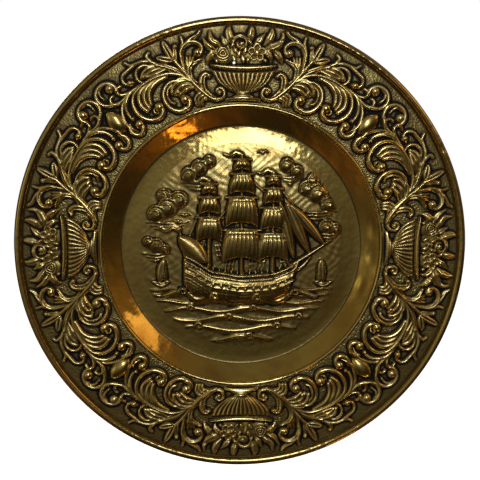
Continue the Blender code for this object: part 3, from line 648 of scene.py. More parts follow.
# The ground between the forms is matted with a punch, most of all near the lip, and dirtier near the rim.
matted = np.clip(1 - border_relief / GROUND_HEIGHT, 0, 1) * np.interp(grid_y, *MATTED_FROM_LIP)
border_recess = np.clip(border_recess + np.interp(grid_y, *DIRT_NEAR_RIM), 0, 1)
border_relief += matted * MATTING_RISE * punch_marks(grid_x % (2 * STRIP_LENGTH), grid_y)
to_edge = np.minimum(border_radii - BORDER_INNER, BORDER_OUTER - border_radii)
border_relief *= np.clip(to_edge / EDGE_FADE, 0, 1)[:, None]


def border_surface(relief, marks, quarter_turn):
    """The shape of one quarter of the border, or of its back, with its marks of dirt, painted shade,
    rubbing and painted highlight.
    """
    rows, columns = relief.shape[0] - 1, relief.shape[1] - 1

    def shape(along, across):
        column = np.rint(along * columns).astype(int)
        row = np.rint(across * rows).astype(int)
        radius = BORDER_INNER + (BORDER_OUTER - BORDER_INNER) * across
        turn = quarter_turn + (along - 0.5) * math.pi / 2
        height = BORDER_INNER_HEIGHT + BORDER_SLOPE * (radius - BORDER_INNER) + relief[row, column]
        plane = np.stack([radius * np.sin(turn), radius * np.cos(turn)], axis=-1)
        return in_row_frame(plane, height), *[mark[row, column] for mark in marks]
    return shape


def even_the_seam(piece, quarter_turn):
    """The quarters meet in the middle of an egg, so the normals there lean to neither side."""
    mesh = piece.data
    points = np.empty(len(mesh.vertices) * 3)
    mesh.vertices.foreach_get("co", points)
    normals = np.empty(len(mesh.vertices) * 3)
    mesh.vertex_normals.foreach_get("vector", normals)
    points, normals = points.reshape(-1, 3), normals.reshape(-1, 3)
    turn = np.arctan2(points[:, 0] - axis.x, points[:, 2] - axis.z) - quarter_turn
    turn = (turn + math.pi) % (2 * math.pi) - math.pi
    seam = abs(abs(turn) - math.pi / 4) < 1e-4
    whole = turn[seam] + quarter_turn
    tangent = np.stack([np.cos(whole), np.zeros(len(whole)), -np.sin(whole)], axis=-1)
    level = normals[seam] - (normals[seam] * tangent).sum(axis=1)[:, None] * tangent
    normals[seam] = level / np.linalg.norm(level, axis=1)[:, None]
    mesh.normals_split_custom_set_from_vertices(normals)


# The hanging hole is drilled through the brass sheet for a picture nail. It is above the rim of the top
# vase and left of its middle line, at this place on the strip.
HOLE_DIAMETER = 3.2
HOLE_PLACE = (-10.0, 45.0)
HOLE_SIDES = 32
HOLE_DIRT = 0.6


def drill(piece):
    """Opens the hanging hole in a sheet: the faces in it go and its edge is drawn to the circle."""
    middle = in_row_frame(on_border(HOLE_PLACE), 0.0)
    radius = HOLE_DIAMETER / 2 * MM
    work = bmesh.new()
    work.from_mesh(piece.data)
    gone = [f for f in work.faces if math.hypot(f.calc_center_median().x - middle[0],
                                                f.calc_center_median().z - middle[2]) < radius]
    edge = {v for f in gone for v in f.verts}
    bmesh.ops.delete(work, geom=gone, context="FACES_ONLY")
    for v in edge:
        if v.is_valid and v.link_faces:
            away = Vector((v.co.x - middle[0], 0, v.co.z - middle[2])).normalized() * radius
            v.co.x, v.co.z = middle[0] + away.x, middle[2] + away.z
    loose = [v for v in work.verts if not v.link_faces]
    bmesh.ops.delete(work, geom=loose, context="VERTS")
    work.to_mesh(piece.data)
    work.free()


# The back is the other face of the same sheet. It follows the front in softer hollows, and it was never
# polished, so it is dull all over and dirty in the hollows.
BACK_STEP = 4
BACK_SHRINK = 4
BACK_SOFTENING = 1.1
HOLLOW_DIRT_DEPTH = 7.0
HOLLOW_DIRT_MOST = 0.7
dull_brass = brass("dull_brass", dirt_and_shade_amount=0.55, bump=0.5, gloss=0.36, Brass=(0.40, 0.28, 0.10, 1),
                   Tarnish=(0.24, 0.15, 0.06, 1))


def behind(relief, wrap):
    """The hollows behind a relief, a sheet's thickness back and always within the front."""
    return soften(shrink(relief, BACK_SHRINK), BACK_SOFTENING, wrap) - SHEET


def dirt_behind(hollow):
    """Dirt lies in the hollows behind the raised forms, thicker the deeper they are."""
    return np.clip(hollow / HOLLOW_DIRT_DEPTH, 0, HOLLOW_DIRT_MOST)


border_hollow = behind(border_relief, wrap=True)


def bore(relief, hollow):
    """The wall of the hanging hole through the sheet, from the relief's face to the hollow behind it."""
    def shape(along, across):
        turn = along * 2 * math.pi
        plane = on_border(HOLE_PLACE) + HOLE_DIAMETER / 2 * np.stack([np.cos(turn), np.sin(turn)], axis=-1)
        radius = np.hypot(*plane.T)
        share = np.arctan2(plane[:, 0], plane[:, 1]) / (math.pi / 2) + 0.5
        column = np.rint(share * BORDER_COLUMNS).astype(int)
        row = np.rint((radius - BORDER_INNER) / (BORDER_OUTER - BORDER_INNER) * BORDER_ROWS).astype(int)
        level = np.where(across < 0.5, relief[row, column], hollow[row, column])
        height = BORDER_INNER_HEIGHT + BORDER_SLOPE * (radius - BORDER_INNER) + level
        return in_row_frame(plane, height), np.full(len(turn), HOLE_DIRT)
    return shape


border_marks = (border_recess, border_crest, matted)
for number, side in enumerate(("top", "right", "bottom", "left")):
    quarter_turn = number * math.pi / 2
    piece = sheet_of_quads(f"border_{side}", BORDER_COLUMNS, BORDER_ROWS,
                           border_surface(border_relief, border_marks, quarter_turn), chased_brass)
    if side == "top":
        drill(piece)
    even_the_seam(piece, quarter_turn)
    fit_to_frame(piece)
    hollow = border_hollow[::BACK_STEP, ::BACK_STEP]
    back = sheet_of_quads(f"back_of_border_{side}", hollow.shape[1] - 1, hollow.shape[0] - 1,
                          border_surface(hollow, [dirt_behind(hollow)], quarter_turn),
                          dull_brass, back=True)
    if side == "top":
        drill(back)
    even_the_seam(back, quarter_turn)
    fit_to_frame(back)

fit_to_frame(sheet_of_quads("hanging_hole", HOLE_SIDES, 1, bore(border_relief, border_hollow), dull_brass))

# The medallion is the middle of the dish's floor, embossed with a ship under full sail on a running
# sea. It is the same aged brass, and its high places carry less of the rubbing and painted highlight
# than the border's. The ship is drawn in units of its own, within a circle, and the drawing is set down
# a little from its middle.
MEDALLION_RADIUS = 117.0
SHIP_CIRCLE = 101.7
SHIP_UNIT = MEDALLION_RADIUS / SHIP_CIRCLE
SHIP_DROP = 4.3
SHIP_RISE = 7.0
BEATING_RISE = 0.22
MEDALLION_GRID = 249
MEDALLION_BACK_STEP = 3
MEDALLION_SOFTENING = 0.6
MEDALLION_FADE = 4.0
MEDALLION_CREST = 0.75


def on_floor(places):
    """Places in the ship's drawing as points in the plate's plane."""
    return (np.asarray(places, float) - (0, SHIP_DROP)) * SHIP_UNIT


# The hull lies between its deck line and its keel line. Its rails are given by how far they are under the
# deck and their half width, and its ports by how far they are under the deck.
DECK_X = (-58, -50, -30, 0, 30, 50, 58)
DECK_Z = (-4, -7, -20, -25, -23, -15, -8)
KEEL_X = (-58, -48, -20, 30, 46, 58)
KEEL_Z = (-34, -46, -52, -52, -44, -10)
HULL_HALF_LENGTH = 57
PLANK_WIDTH = 3.4
RAILS = ((0.8, 1.4), (5.2, 0.8), (10.5, 0.8), (16.0, 1.2))
PORT_DEPTH = 13.2
# The levels of the rows of waves, and the line of foam along the hull.
SEA_LEVELS = (-39, -45, -52, -60, -69, -79, -90)
FOAM = ((-76, -45), (-58, -40), (-44, -49), (-26, -45), (-6, -50), (16, -46), (36, -51), (54, -41),
        (74, -46))


def sea(work, reach):
    """Rows of waves that grow towards the bottom, with curls of foam on their crests."""
    for row, level in enumerate(SEA_LEVELS):
        wide = math.sqrt(reach ** 2 - (level - SHIP_DROP) ** 2)
        swell, period, start = 1.0 + 0.35 * row, 6.0 + 1.3 * row, 2.3 * row
        crest = [(x, level + swell * math.sin(x / period + start)) for x in np.linspace(-wide, wide, 30)]
        work.ridge(crest, (1.6, 2.8 + 0.35 * row, 1.6), (1.6, 2.6 + 0.25 * row, 1.6), grooves=(-0.3,),
                   rounding=0.9)
        first, last = [int((end / period + start) / (2 * math.pi)) for end in (-wide, wide)]
        for turn in range(first, last + 1):
            x = (2 * math.pi * turn + math.pi / 2 - start) * period
            if row and abs(x) < wide - 8:
                size = 2.0 + 0.3 * row
                rise = 3.0 + 0.3 * row
                work.ridge(coil((x + size, level + swell), 190, -300, size * 1.3, size * 0.5),
                           (0.8, 1.1, 0.8), (rise, rise + 0.8, rise))


def hull(work, x, z):
    """The hull with its wales, ports and foam, fuller at the stern on the left."""
    deck, keel = np.interp(x, DECK_X, DECK_Z), np.interp(x, KEEL_X, KEEL_Z)
    size = np.clip((deck - keel) / 2, 0.5, None)
    side = SHIP_RISE * np.clip(1 - ((z - (deck + keel) / 2) / size) ** 2, 0, 1) ** 0.4
    side *= 0.92 - 0.14 * dent((z - deck) % PLANK_WIDTH, 0, 0.5)
    side[abs(x) > HULL_HALF_LENGTH] = 0
    work.height = np.maximum(work.height, side)
    for under, wide in RAILS:
        rail = [(rail_x, np.interp(rail_x, DECK_X, DECK_Z) - under) for rail_x in range(-56, 53, 9)]
        work.ridge(rail, (wide, wide), (SHIP_RISE * 1.1, SHIP_RISE * 1.1))
    for port in range(-44, 46, 8):
        work.dome((port, np.interp(port, DECK_X, DECK_Z) - PORT_DEPTH), 1.9, SHIP_RISE * 1.16, rounding=0.3)
    for window in range(3):
        work.dome((-53.5 + 4.4 * window, -14.5 - 1.2 * window), 1.7, SHIP_RISE * 1.14, rounding=0.3)
    for post in range(-52, 50, 6):
        foot = np.interp(post, DECK_X, DECK_Z)
        work.ridge([(post, foot), (post, foot + 1.8), (post, foot + 3.4)], (0.7, 0.7), (4.0, 4.0))
    work.ridge(FOAM, (2.6, 4.6, 2.6), (SHIP_RISE * 0.6, SHIP_RISE * 0.95, SHIP_RISE * 0.6),
               grooves=(-0.5, 0.0, 0.5), cut=0.35)
    for x_foam, z_foam in FOAM[1:-1:2]:
        work.ridge(coil((x_foam, z_foam - 1), 200, -330, 4.6, 1.6), (1.3, 1.5, 1.1), (SHIP_RISE, SHIP_RISE))


# A sail's foot is arched, its cloths are sewn side by side, and a reef band crosses it near the head.
SAIL_ARCH = 0.18
CLOTH_WIDTH = 4.4
SEAM_WIDTH = 0.5
SEAM_DEPTH = 0.13
REEF_PLACE, REEF_WIDTH, REEF_DEPTH = 0.84, 0.03, 0.12


def square_sail(work, x, z, middle, foot, head, wide, narrow):
    """A sail filled by the wind, sewn of upright cloths, with an arched foot and a reef, on its yard."""
    t = (z - foot) / (head - foot)
    u = (x - middle) / (wide + (narrow - wide) * t + 1.6 * np.sin(math.pi * np.clip(t, 0, 1)))
    arch = SAIL_ARCH * (1 - np.clip(abs(u), 0, 1) ** 2)
    v = (t - arch) / (1 - arch)
    swell = 0.58 + 0.42 * np.sin(math.pi * np.clip(1.02 - v * 0.86, 0, 1)) ** 0.8
    belly = SHIP_RISE * 1.05 * np.clip(1 - u ** 6, 0, 1) ** 0.5 * swell
    seams = dent((u * wide + 50) % CLOTH_WIDTH, CLOTH_WIDTH / 2, SEAM_WIDTH)
    belly *= 1 - SEAM_DEPTH * seams * np.clip(1.4 - abs(2 * v - 1), 0, 1)
    belly *= 1 - REEF_DEPTH * dent(v, REEF_PLACE, REEF_WIDTH)
    belly[(v < 0) | (t > 1) | (abs(u) > 1)] = 0
    work.height = np.maximum(work.height, belly)
    work.ridge([(middle - narrow - 3, head + 0.2), (middle, head + 1.4), (middle + narrow + 3, head + 0.2)],
               (0.8, 1.4, 0.8), (4.0, 5.6, 4.0))


def cloud(work, puffs):
    """A bank of cloud, each puff rimmed along its top, over a flat foot."""
    for x, z, radius in puffs:
        work.dome((x, z), radius, 3.4, rounding=0.7)
        work.ridge(coil((x, z), -30, 250, radius * 0.92, radius * 0.86), (0.9, 1.4, 0.9), (2.6, 4.6, 2.6))
        work.ridge(coil((x, z), 190, -250, radius * 0.52, radius * 0.26), (0.7, 1.1, 0.8), (3.4, 4.4, 4.4))
    left, right = min(p[0] - p[2] for p in puffs), max(p[0] + p[2] for p in puffs)
    low = min(p[1] - p[2] for p in puffs)
    for line in range(3):
        work.ridge([(left + 4 * line, low + 1 - 3.2 * line), ((left + right) / 2, low - 3.2 * line),
                    (right - 5 * line, low + 1.4 - 3.2 * line)], (0.7, 1.3, 0.7), (1.2, 2.4, 1.2))


def straight(start, end):
    """A spar or a rope from end to end."""
    return [start, ((start[0] + end[0]) / 2, (start[1] + end[1]) / 2), end]


# The stays, the masts' tops and the deck under each, and the masts from deck to head.
STAYS = (((0, 78), (31, 50)), ((31, 70), (82, 7)), ((31, 44), (66, -2)), ((0, 56), (-32, 22)),
         ((-32, 62), (-58, -3)))
SHROUDS = ((-32, 34, -10), (0, 50, -22), (31, 42, -18))
MASTS = (((-32, -16), (-32, 70)), ((0, -24), (0, 95)), ((31, -22), (31, 78)))
# The jibs from root to tip with their half widths, and the square sails: middle line, foot, head, and
# half widths at foot and head.
JIBS = (((52, -8), (37, 50), 5.8), ((67, -2), (42, 52), 6.2), ((82, 7), (48, 46), 5.4))
SQUARE_SAILS = ((-32, 8, 32, 13.0, 10.5), (-32, 35, 52, 10.0, 7.5), (-32, 55, 65, 7.0, 4.8),
                (31, -11, 16, 15.5, 13.0), (31, 19, 42, 13.0, 10.0), (31, 45, 61, 9.5, 6.8),
                (31, 64, 73, 6.2, 4.4), (0, -13, 20, 19.5, 16.5), (0, 23, 52, 16.5, 13.0),
                (0, 55, 75, 12.5, 8.8), (0, 78, 89, 8.0, 5.6))
# Each bank of cloud as its puffs: middle and radius.
CLOUDS = (((-84, 36, 9), (-73, 42, 10), (-62, 50, 9), (-76, 54, 7)),
          ((-52, 74, 7.5), (-42, 81, 8), (-32, 87, 6)),
          ((-92, 8, 5.5), (-84, 5, 7), (-76, 1, 5)),
          ((64, 62, 8), (75, 57, 10), (86, 46, 8), (70, 70, 6)),
          ((44, 84, 7), (54, 78, 6)),
          ((93, 22, 6), (84, 24, 7.5)))
GULLS = ((-56, 34), (-64, 28), (60, 38), (20, 96), (72, 34))


def ship(work):
    """A three-masted ship under full sail on a running sea, with clouds, gulls and two boats far off."""
    x, z = work.points.T / SHIP_UNIT
    z = z + SHIP_DROP
    # The ground is beaten with a round-faced hammer.
    beaten = np.sin(x / 1.7 + 2.0 * np.sin(z / 5.3)) * np.sin(z / 1.5 + 2.0 * np.sin(x / 6.1))
    work.height += BEATING_RISE * (0.5 + 0.5 * beaten)
    for boat, sail in ((-80, 1), (82, -1)):
        work.ridge([(boat - 8, -31), (boat, -34), (boat + 8, -31)], (1.4, 3.0, 1.4), (3.6, 4.6, 3.6),
                   grooves=(0.0,))
        work.leaf((boat - 1, -32), (boat + 3 * sail, -8), 5.0, 4.4, vein=0.3)
        work.leaf((boat + 5 * sail, -32), (boat + 3 * sail, -14), 2.8, 4.0, vein=0.2)
    sea(work, MEDALLION_RADIUS / SHIP_UNIT - 2)
    # The standing rigging: stays, and shrouds with their ratlines.
    for high_end, low_end in STAYS:
        work.ridge(straight(high_end, low_end), (0.7, 0.7), (2.0, 2.0))
    for mast, top, deck in SHROUDS:
        for side in (-1, 1):
            for spread in (9, 13, 17):
                work.ridge(straight((mast, top), (mast + side * spread, deck)), (0.6, 0.6), (1.8, 1.8))
            for step in range(1, 9):
                share = step / 9
                level = top + (deck - top) * share
                work.ridge([(mast + side * 9 * share, level), (mast + side * 13 * share, level),
                            (mast + side * 17 * share, level)], (0.45, 0.45), (1.4, 1.4))
    # Masts with tops and pennants, and the bowsprit.
    for foot, head in MASTS:
        work.ridge(straight(foot, head), (1.9, 1.6, 1.1), (4.8, 4.4, 3.2))
        work.ridge([(head[0], head[1] - 1), (head[0] - 6, head[1] + 1.2), (head[0] - 12, head[1] - 2),
                    (head[0] - 18, head[1])], (2.4, 1.9, 0.7), (3.4, 3.6, 2.4), grooves=(0.0,))
    work.ridge([(48, -15), (66, -4), (86, 9)], (2.2, 1.8, 1.0), (5.4, 5.0, 3.6))
    work.ridge([(50, -22), (60, -16), (68, -7)], (2.4, 1.8, 1.2), (5.6, 5.0, 4.2), grooves=(0.0,))
    # The spanker at the stern, the ensign over it, and three jibs at the bow.
    work.leaf((-34, -12), (-62, 14), 10.0, SHIP_RISE * 0.85, vein=0.0, ribs=0.06)
    work.ridge([(-57, -4), (-59, 10), (-62, 22)], (0.8, 0.8), (3.6, 3.6))
    work.ridge([(-62, 21), (-68, 24), (-74, 20), (-80, 23)], (3.4, 3.2, 2.2), (3.4, 3.8, 2.6),
               grooves=(-0.4, 0.2))
    for root, tip, half in JIBS:
        work.leaf(root, tip, half, SHIP_RISE * 0.85, vein=0.0, ribs=0.05)
    hull(work, x, z)
    for sail in SQUARE_SAILS:
        square_sail(work, x, z, *sail)
    for puffs in CLOUDS:
        cloud(work, puffs)
    for gull_x, gull_z in GULLS:
        for side in (-1, 1):
            wing = [(gull_x, gull_z), (gull_x + side * 2, gull_z + 1.8), (gull_x + side * 5, gull_z + 1.0)]
            work.ridge(wing, (0.9, 1.0, 0.5), (2.4, 2.4, 1.6))


def pressed_round(u, v):
    """A square grid from -1 to 1 drawn into a disc, its squares into rings."""
    wide = abs(u) > abs(v)
    ring = np.where(wide, u, v)
    safe = np.where(ring == 0, 1.0, ring)
    turn = np.where(wide, math.pi / 4 * v / safe, math.pi / 2 - math.pi / 4 * u / safe)
    return np.stack([ring * np.cos(turn), ring * np.sin(turn)], axis=-1)


medallion_u, medallion_v = np.meshgrid(*[np.linspace(-1, 1, MEDALLION_GRID + 1)] * 2)
medallion_plane = pressed_round(medallion_u, medallion_v) * MEDALLION_RADIUS
medallion = Relief(medallion_plane.reshape(-1, 2), on_floor, SHIP_UNIT)
ship(medallion)
to_margin = MEDALLION_RADIUS - 0.5 - np.hypot(*medallion.points.T)
medallion.height *= np.clip(to_margin / MEDALLION_FADE, 0, 1)
ship_relief = soften(medallion.height.reshape(medallion_u.shape), MEDALLION_SOFTENING, wrap=False)
ship_recess, ship_crest = wear_and_painted_light(ship_relief, 2 * MEDALLION_RADIUS / MEDALLION_GRID, wrap=False)


def medallion_surface(relief, marks):
    """The shape of the floor's middle, or of its back, with its marks of dirt, painted shade, rubbing and
    painted highlight.
    """
    steps = relief.shape[0] - 1

    def shape(along, across):
        column = np.rint(along * steps).astype(int)
        row = np.rint(across * steps).astype(int)
        plane = pressed_round(along * 2 - 1, across * 2 - 1) * MEDALLION_RADIUS
        return in_row_frame(plane, relief[row, column]), *[mark[row, column] for mark in marks]
    return shape


floor_brass = brass("floor_brass", dirt_and_shade_amount=0.85, bump=0.3, gloss=0.16, Brass=(0.43, 0.305, 0.095, 1),
                    Rubbed=(0.57, 0.425, 0.16, 1))
ship_marks = (ship_recess, ship_crest * MEDALLION_CREST)
fit_to_frame(sheet_of_quads("ship_medallion", MEDALLION_GRID, MEDALLION_GRID,
                            medallion_surface(ship_relief, ship_marks), floor_brass))
ship_hollow = behind(ship_relief, wrap=False)[::MEDALLION_BACK_STEP, ::MEDALLION_BACK_STEP]
hollow_grid = ship_hollow.shape[0] - 1
fit_to_frame(sheet_of_quads("back_of_medallion", hollow_grid, hollow_grid,
                            medallion_surface(ship_hollow, [dirt_behind(ship_hollow)]),
                            dull_brass, back=True))

# The dish and the rim are turned: the floor's plain margin, the straight wall on its sharp foot, the
# lip round the dish, rubbed and painted bright on its top, and outside the border the crease and the edge,
# which is rolled over a wire to the back. The wall is not quite even, and soft knocks show in its side.
LIP_RISE = 1.9
CREASE_DEPTH = 0.8
ROLL_RISE = 1.2
BEND_RADIUS = 126.0
BEND_STEPS = 6
FOOT_RADIUS = 136.4
FOOT_HEIGHT = 0.45
FOOT_CREASE = 0.02
WALL_STEPS = 14
ROLL_STEP = 15
TURNED_COLUMNS = 400

# How dark and how bright each part of the profile is painted: dirt on the wall and the back, painted shade
# along the foot of the wall, dirt and painted shade at the lip's foot, in the crease and round the edge,
# and rubbing with a painted highlight on the tops of the lip and the edge.
FOOT_SHADE = 1.4
WALL_DIRT = 0.15
LIP_DIRT_AND_SHADE = 0.8
LIP_RUBBED_AND_HIGHLIGHT = 0.9
CREASE_DIRT_AND_SHADE = 1.0
EDGE_DIRT_AND_SHADE = 0.6
EDGE_RUBBED_AND_HIGHLIGHT = 0.35
BACK_DIRT = 0.2

# A nick in the edge: its place in degrees from the top, its half width and its depth. The wall waves by
# so much, and has knocks: place in degrees, radius, half lengths round and across, and depth.
NICK = (63.4, 1.6, 1.8)
UNEVEN = 0.2
UNEVEN_FADE = 60.0
KNOCKS = ((79, 149.0, 13.0, 4.2, 1.3), (93, 147.0, 10.0, 4.0, 1.1), (109, 143.5, 12.0, 3.6, 1.2),
          (86, 144.0, 5.0, 4.0, -0.4), (262, 148.0, 8.0, 4.0, 0.5), (238, 146.0, 9.0, 4.0, 0.5))

turned_brass = brass("turned_brass", dirt_and_shade_amount=0.3, bump=0.35, gloss=0.05)
rim_brass = brass("rim_brass", dirt_and_shade_amount=0.5, bump=0.5, gloss=0.07, Brass=(0.36, 0.24, 0.065, 1))


def knocked(turn, radius):
    """How far the wall of the dish stands off its turned shape."""
    on_wall = np.clip((radius - FOOT_RADIUS) * (LIP_RADIUS - 3 - radius) / UNEVEN_FADE, 0, 1)
    wave = np.sin(15 * turn + 2.5 * np.sin(4 * turn) + radius / 9) + 0.5 * np.sin(34 * turn + radius / 4)
    away = UNEVEN * wave
    for place, middle, long_half, short_half, depth in KNOCKS:
        round_wall = dent((turn - math.radians(place)) * middle, 0, long_half)
        away -= depth * round_wall * dent(radius, middle, short_half)
    return away * on_wall


def turned(name, profile, material, back=False, nick=None, wall=False):
    """A profile of radius, height and the marks of dirt, painted shade, rubbing and painted highlight,
    turned round the plate's axis. A nick is struck in the rolled edge, and wall says that the dish's wall
    is in it, with its waves and knocks."""
    profile = np.asarray(profile, float)
    rows = len(profile) - 1

    def shape(along, across):
        radius, height, *marks = profile[np.rint(across * rows).astype(int)].T
        turn = along * 2 * math.pi
        plane = np.stack([radius * np.sin(turn), radius * np.cos(turn)], axis=-1)
        if nick:
            place, half, depth = nick
            struck = dent(turn, math.radians(place), half / PLATE_RADIUS) * (height > BORDER_OUTER_HEIGHT)
            height = height - depth * struck
            marks[0] = marks[0] + struck
        if wall:
            height = height + knocked(turn, radius)
        return in_row_frame(plane, height), *marks
    fit_to_frame(sheet_of_quads(name, TURNED_COLUMNS, rows, shape, material, weld=True, back=back))


# The floor bends up gently to the sharp foot of the wall, which is painted dark with shade.
wall_line = [(MEDALLION_RADIUS, 0.0, 0.0, 0.0)]
for share in np.linspace(0, 1, BEND_STEPS):
    radius = BEND_RADIUS + (FOOT_RADIUS - BEND_RADIUS) * share
    wall_line.append((radius, FOOT_HEIGHT * share ** 2, FOOT_SHADE if share == 1 else 0.0, 0.0))
for share in (FOOT_CREASE, *np.linspace(0, 1, WALL_STEPS)[1:]):
    radius = FOOT_RADIUS + (LIP_RADIUS - LIP_HALF_WIDTH - FOOT_RADIUS) * share
    height = FOOT_HEIGHT + (BORDER_INNER_HEIGHT - FOOT_HEIGHT) * share
    wall_line.append((radius, height, FOOT_SHADE if share == FOOT_CREASE else WALL_DIRT, 0.0))
lip = []
# The lip's foot is painted dark with dirt and shade, its top bright with rubbing and a painted highlight.
for angle in range(180, -1, -20):
    turn = math.radians(angle)
    lip.append((LIP_RADIUS + LIP_HALF_WIDTH * math.cos(turn),
                BORDER_INNER_HEIGHT + LIP_RISE * math.sin(turn),
                LIP_DIRT_AND_SHADE if angle < 40 else 0.0, LIP_RUBBED_AND_HIGHLIGHT if 40 < angle < 160 else 0.0))
border_edge = (BORDER_INNER, BORDER_INNER_HEIGHT, LIP_DIRT_AND_SHADE, 0.0)
turned("dish", wall_line + lip[1:] + [border_edge], turned_brass, wall=True)

roll_middle = (PLATE_RADIUS - ROLL_RADIUS, BORDER_OUTER_HEIGHT + ROLL_RISE)
crease_height = BORDER_OUTER_HEIGHT - CREASE_DEPTH
# The crease is painted dark with dirt and shade.
rim = [(BORDER_OUTER, BORDER_OUTER_HEIGHT, 0.4, 0.0), (CREASE_RADIUS, crease_height, CREASE_DIRT_AND_SHADE, 0.0)]
# Round the edge the sides and the back are painted dark with dirt and shade, the top bright with rubbing
# and a painted highlight.
for angle in range(190, -126, -ROLL_STEP):
    turn = math.radians(angle)
    dirt_and_shade_amount = EDGE_DIRT_AND_SHADE / 2 if angle > 150 else 0.0 if angle > 50 else EDGE_DIRT_AND_SHADE
    rim.append((roll_middle[0] + ROLL_RADIUS * math.cos(turn),
                roll_middle[1] + ROLL_RADIUS * math.sin(turn),
                dirt_and_shade_amount, EDGE_RUBBED_AND_HIGHLIGHT if 60 < angle < 120 else 0.0))
rim += [(CREASE_RADIUS + 0.4, crease_height - SHEET, CREASE_DIRT_AND_SHADE, 0.0),
        (BORDER_OUTER, BORDER_OUTER_HEIGHT - SHEET, 0.5, 0.0)]
turned("rolled_rim", rim, rim_brass, nick=NICK)

# The back of the dish keeps the sheet's thickness behind its front.
back_line = [(MEDALLION_RADIUS, -SHEET)]
for (low_radius, low, *_), (radius, height, *_) in zip(wall_line[:-1], wall_line[1:]):
    slope = math.atan2(height - low, radius - low_radius)
    back_line.append((radius + SHEET * math.sin(slope), height - SHEET * math.cos(slope)))
lip_back = LIP_HALF_WIDTH - SHEET
for angle in range(150, -1, -30):
    turn = math.radians(angle)
    back_line.append((LIP_RADIUS + lip_back * math.cos(turn),
                      BORDER_INNER_HEIGHT - SHEET + lip_back * math.sin(turn)))
back_line.append((BORDER_INNER, BORDER_INNER_HEIGHT - SHEET))
turned("back_of_dish", [(*place, BACK_DIRT) for place in back_line], dull_brass, back=True, wall=True)

# The studio: a pale floor far below, a surround that the camera sees white and the brass sees dim and
# warm, with soft patches of light in it, and five soft lamps. The camera stands as in the photo, a
# little left of the plate's axis and above it.
ROOM = (0.026, 0.018, 0.008, 1)
# Each patch: azimuth, elevation, how wide in degrees, and colour.
PATCHES = ((-6, 12, 20, (0.24, 0.25, 0.24)),
           (-5, 48, 28, (0.18, 0.17, 0.12)),
           (82, 32, 24, (0.36, 0.20, 0.06)),
           (-60, 2, 24, (0.18, 0.16, 0.105)),
           (-68, 42, 20, (0.14, 0.125, 0.065)),
           (-84, -46, 13, (0.36, 0.16, 0.03)),
           (-50, 5, 9, (0.62, 0.58, 0.34)),
           (60, -60, 15, (0.25, 0.10, 0.015)),
           (170, 25, 28, (0.6, 0.5, 0.36)))
# Each lamp: name, place from the plate's middle in metres, size, power and colour.
LAMPS = (("key_above_camera", (0.05, -0.85, 0.18), 0.23, 0.75, (0.87, 1.0, 1.25)),
         ("window_above", (-0.04, -0.80, 0.44), 0.24, 1.1, (0.88, 1.0, 1.2)),
         ("warm_side", (1.15, -0.6, 0.75), 0.5, 0.85, (1, 0.62, 0.25)),
         ("behind", (-0.7, 1.3, 0.9), 0.8, 14.0, (1.0, 0.95, 0.85)),
         ("warm_low", (0.55, -0.35, -1.1), 0.18, 0.44, (1.0, 0.42, 0.08)))
FLOOR_SIZE = 6.0
FLOOR_DROP = 0.5
CAMERA_AZIMUTH = -2.28
CAMERA_ELEVATION = 6.94
CAMERA_ROLL = 0.39
CAMERA_DISTANCE = 0.8
LENS = 54.1
SHIFT = (-0.0047, 0.0178)


def toward(azimuth, elevation):
    """The direction that these angles give, azimuth 0 being straight in front of the plate."""
    turn, up = math.radians(azimuth), math.radians(elevation)
    return Vector((math.sin(turn) * math.cos(up), -math.cos(turn) * math.cos(up), math.sin(up)))


studio = bpy.data.worlds.new("studio")
studio.use_nodes = True
tree = studio.node_tree
tree.nodes.clear()
direction = tree.nodes.new("ShaderNodeTexCoord").outputs["Generated"]
room = ROOM
for azimuth, elevation, wide, colour in PATCHES:
    aim = tree.nodes.new("ShaderNodeVectorMath")
    aim.operation = "DOT_PRODUCT"
    tree.links.new(direction, aim.inputs[0])
    aim.inputs[1].default_value = toward(azimuth, elevation)
    share = calculate(tree, "MAXIMUM", aim.outputs["Value"], 0.0)
    share = calculate(tree, "POWER", share, math.log(0.5) / math.log(math.cos(math.radians(wide))))
    room = blend_colours(tree, share, room, (*colour, 1), kind="ADD")
seen = tree.nodes.new("ShaderNodeLightPath").outputs["Is Camera Ray"]
shown = blend_colours(tree, seen, room, (1, 1, 1, 1))
surround = add(tree, "ShaderNodeBackground", Color=shown, Strength=1.0)
out = tree.nodes.new("ShaderNodeOutputWorld")
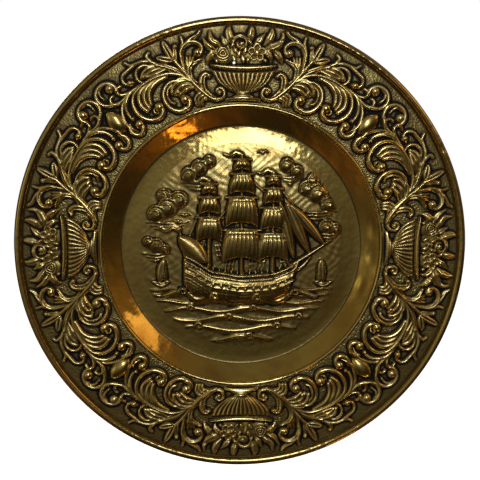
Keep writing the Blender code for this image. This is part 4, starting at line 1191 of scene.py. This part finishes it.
tree.links.new(surround.outputs["Background"], out.inputs["Surface"])
bpy.context.scene.world = studio

middle = Vector((axis.x, plate_low.y + ROLL_RADIUS * MM, axis.z))
for name, place, size, power, colour in LAMPS:
    lamp = bpy.data.lights.new(name, "AREA")
    lamp.shape = "DISK"
    lamp.size = size
    lamp.energy = power
    lamp.color = colour
    light = bpy.data.objects.new(name, lamp)
    light.location = middle + Vector(place)
    light.rotation_mode = "QUATERNION"
    light.rotation_quaternion = (-Vector(place)).to_track_quat("-Z", "Y")
    bpy.context.scene.collection.objects.link(light)

floor_mesh = bpy.data.meshes.new("floor")
work = bmesh.new()
bmesh.ops.create_grid(work, x_segments=1, y_segments=1, size=FLOOR_SIZE)
work.to_mesh(floor_mesh)
work.free()
floor = bpy.data.objects.new("floor", floor_mesh)
floor.location = (0, 0, plate_low.z - FLOOR_DROP)
bpy.context.scene.collection.objects.link(floor)
pale = bpy.data.materials.new("pale_floor")
pale.use_nodes = True
paint = pale.node_tree.nodes["Principled BSDF"]
paint.inputs["Base Color"].default_value = (0.9, 0.9, 0.9, 1)
paint.inputs["Roughness"].default_value = 1.0
paint.inputs["Emission Color"].default_value = (1, 1, 1, 1)
paint.inputs["Emission Strength"].default_value = 1.0
floor_mesh.materials.append(pale)
floor.visible_glossy = False
floor.visible_diffuse = False

camera_data = bpy.data.cameras.new("camera")
camera_data.lens = LENS
camera_data.shift_x, camera_data.shift_y = SHIFT
camera = bpy.data.objects.new("camera", camera_data)
away = toward(CAMERA_AZIMUTH, CAMERA_ELEVATION)
target = Vector((axis.x, FLOOR_FRONT - (BORDER_OUTER_HEIGHT + ROLL_RISE) * MM, axis.z))
camera.location = target + away * CAMERA_DISTANCE
camera.rotation_mode = "QUATERNION"
roll = Quaternion((0, 0, 1), math.radians(CAMERA_ROLL))
camera.rotation_quaternion = (-away).to_track_quat("-Z", "Y") @ roll
bpy.context.scene.collection.objects.link(camera)
bpy.context.scene.camera = camera
bpy.context.scene.view_settings.view_transform = "Standard"
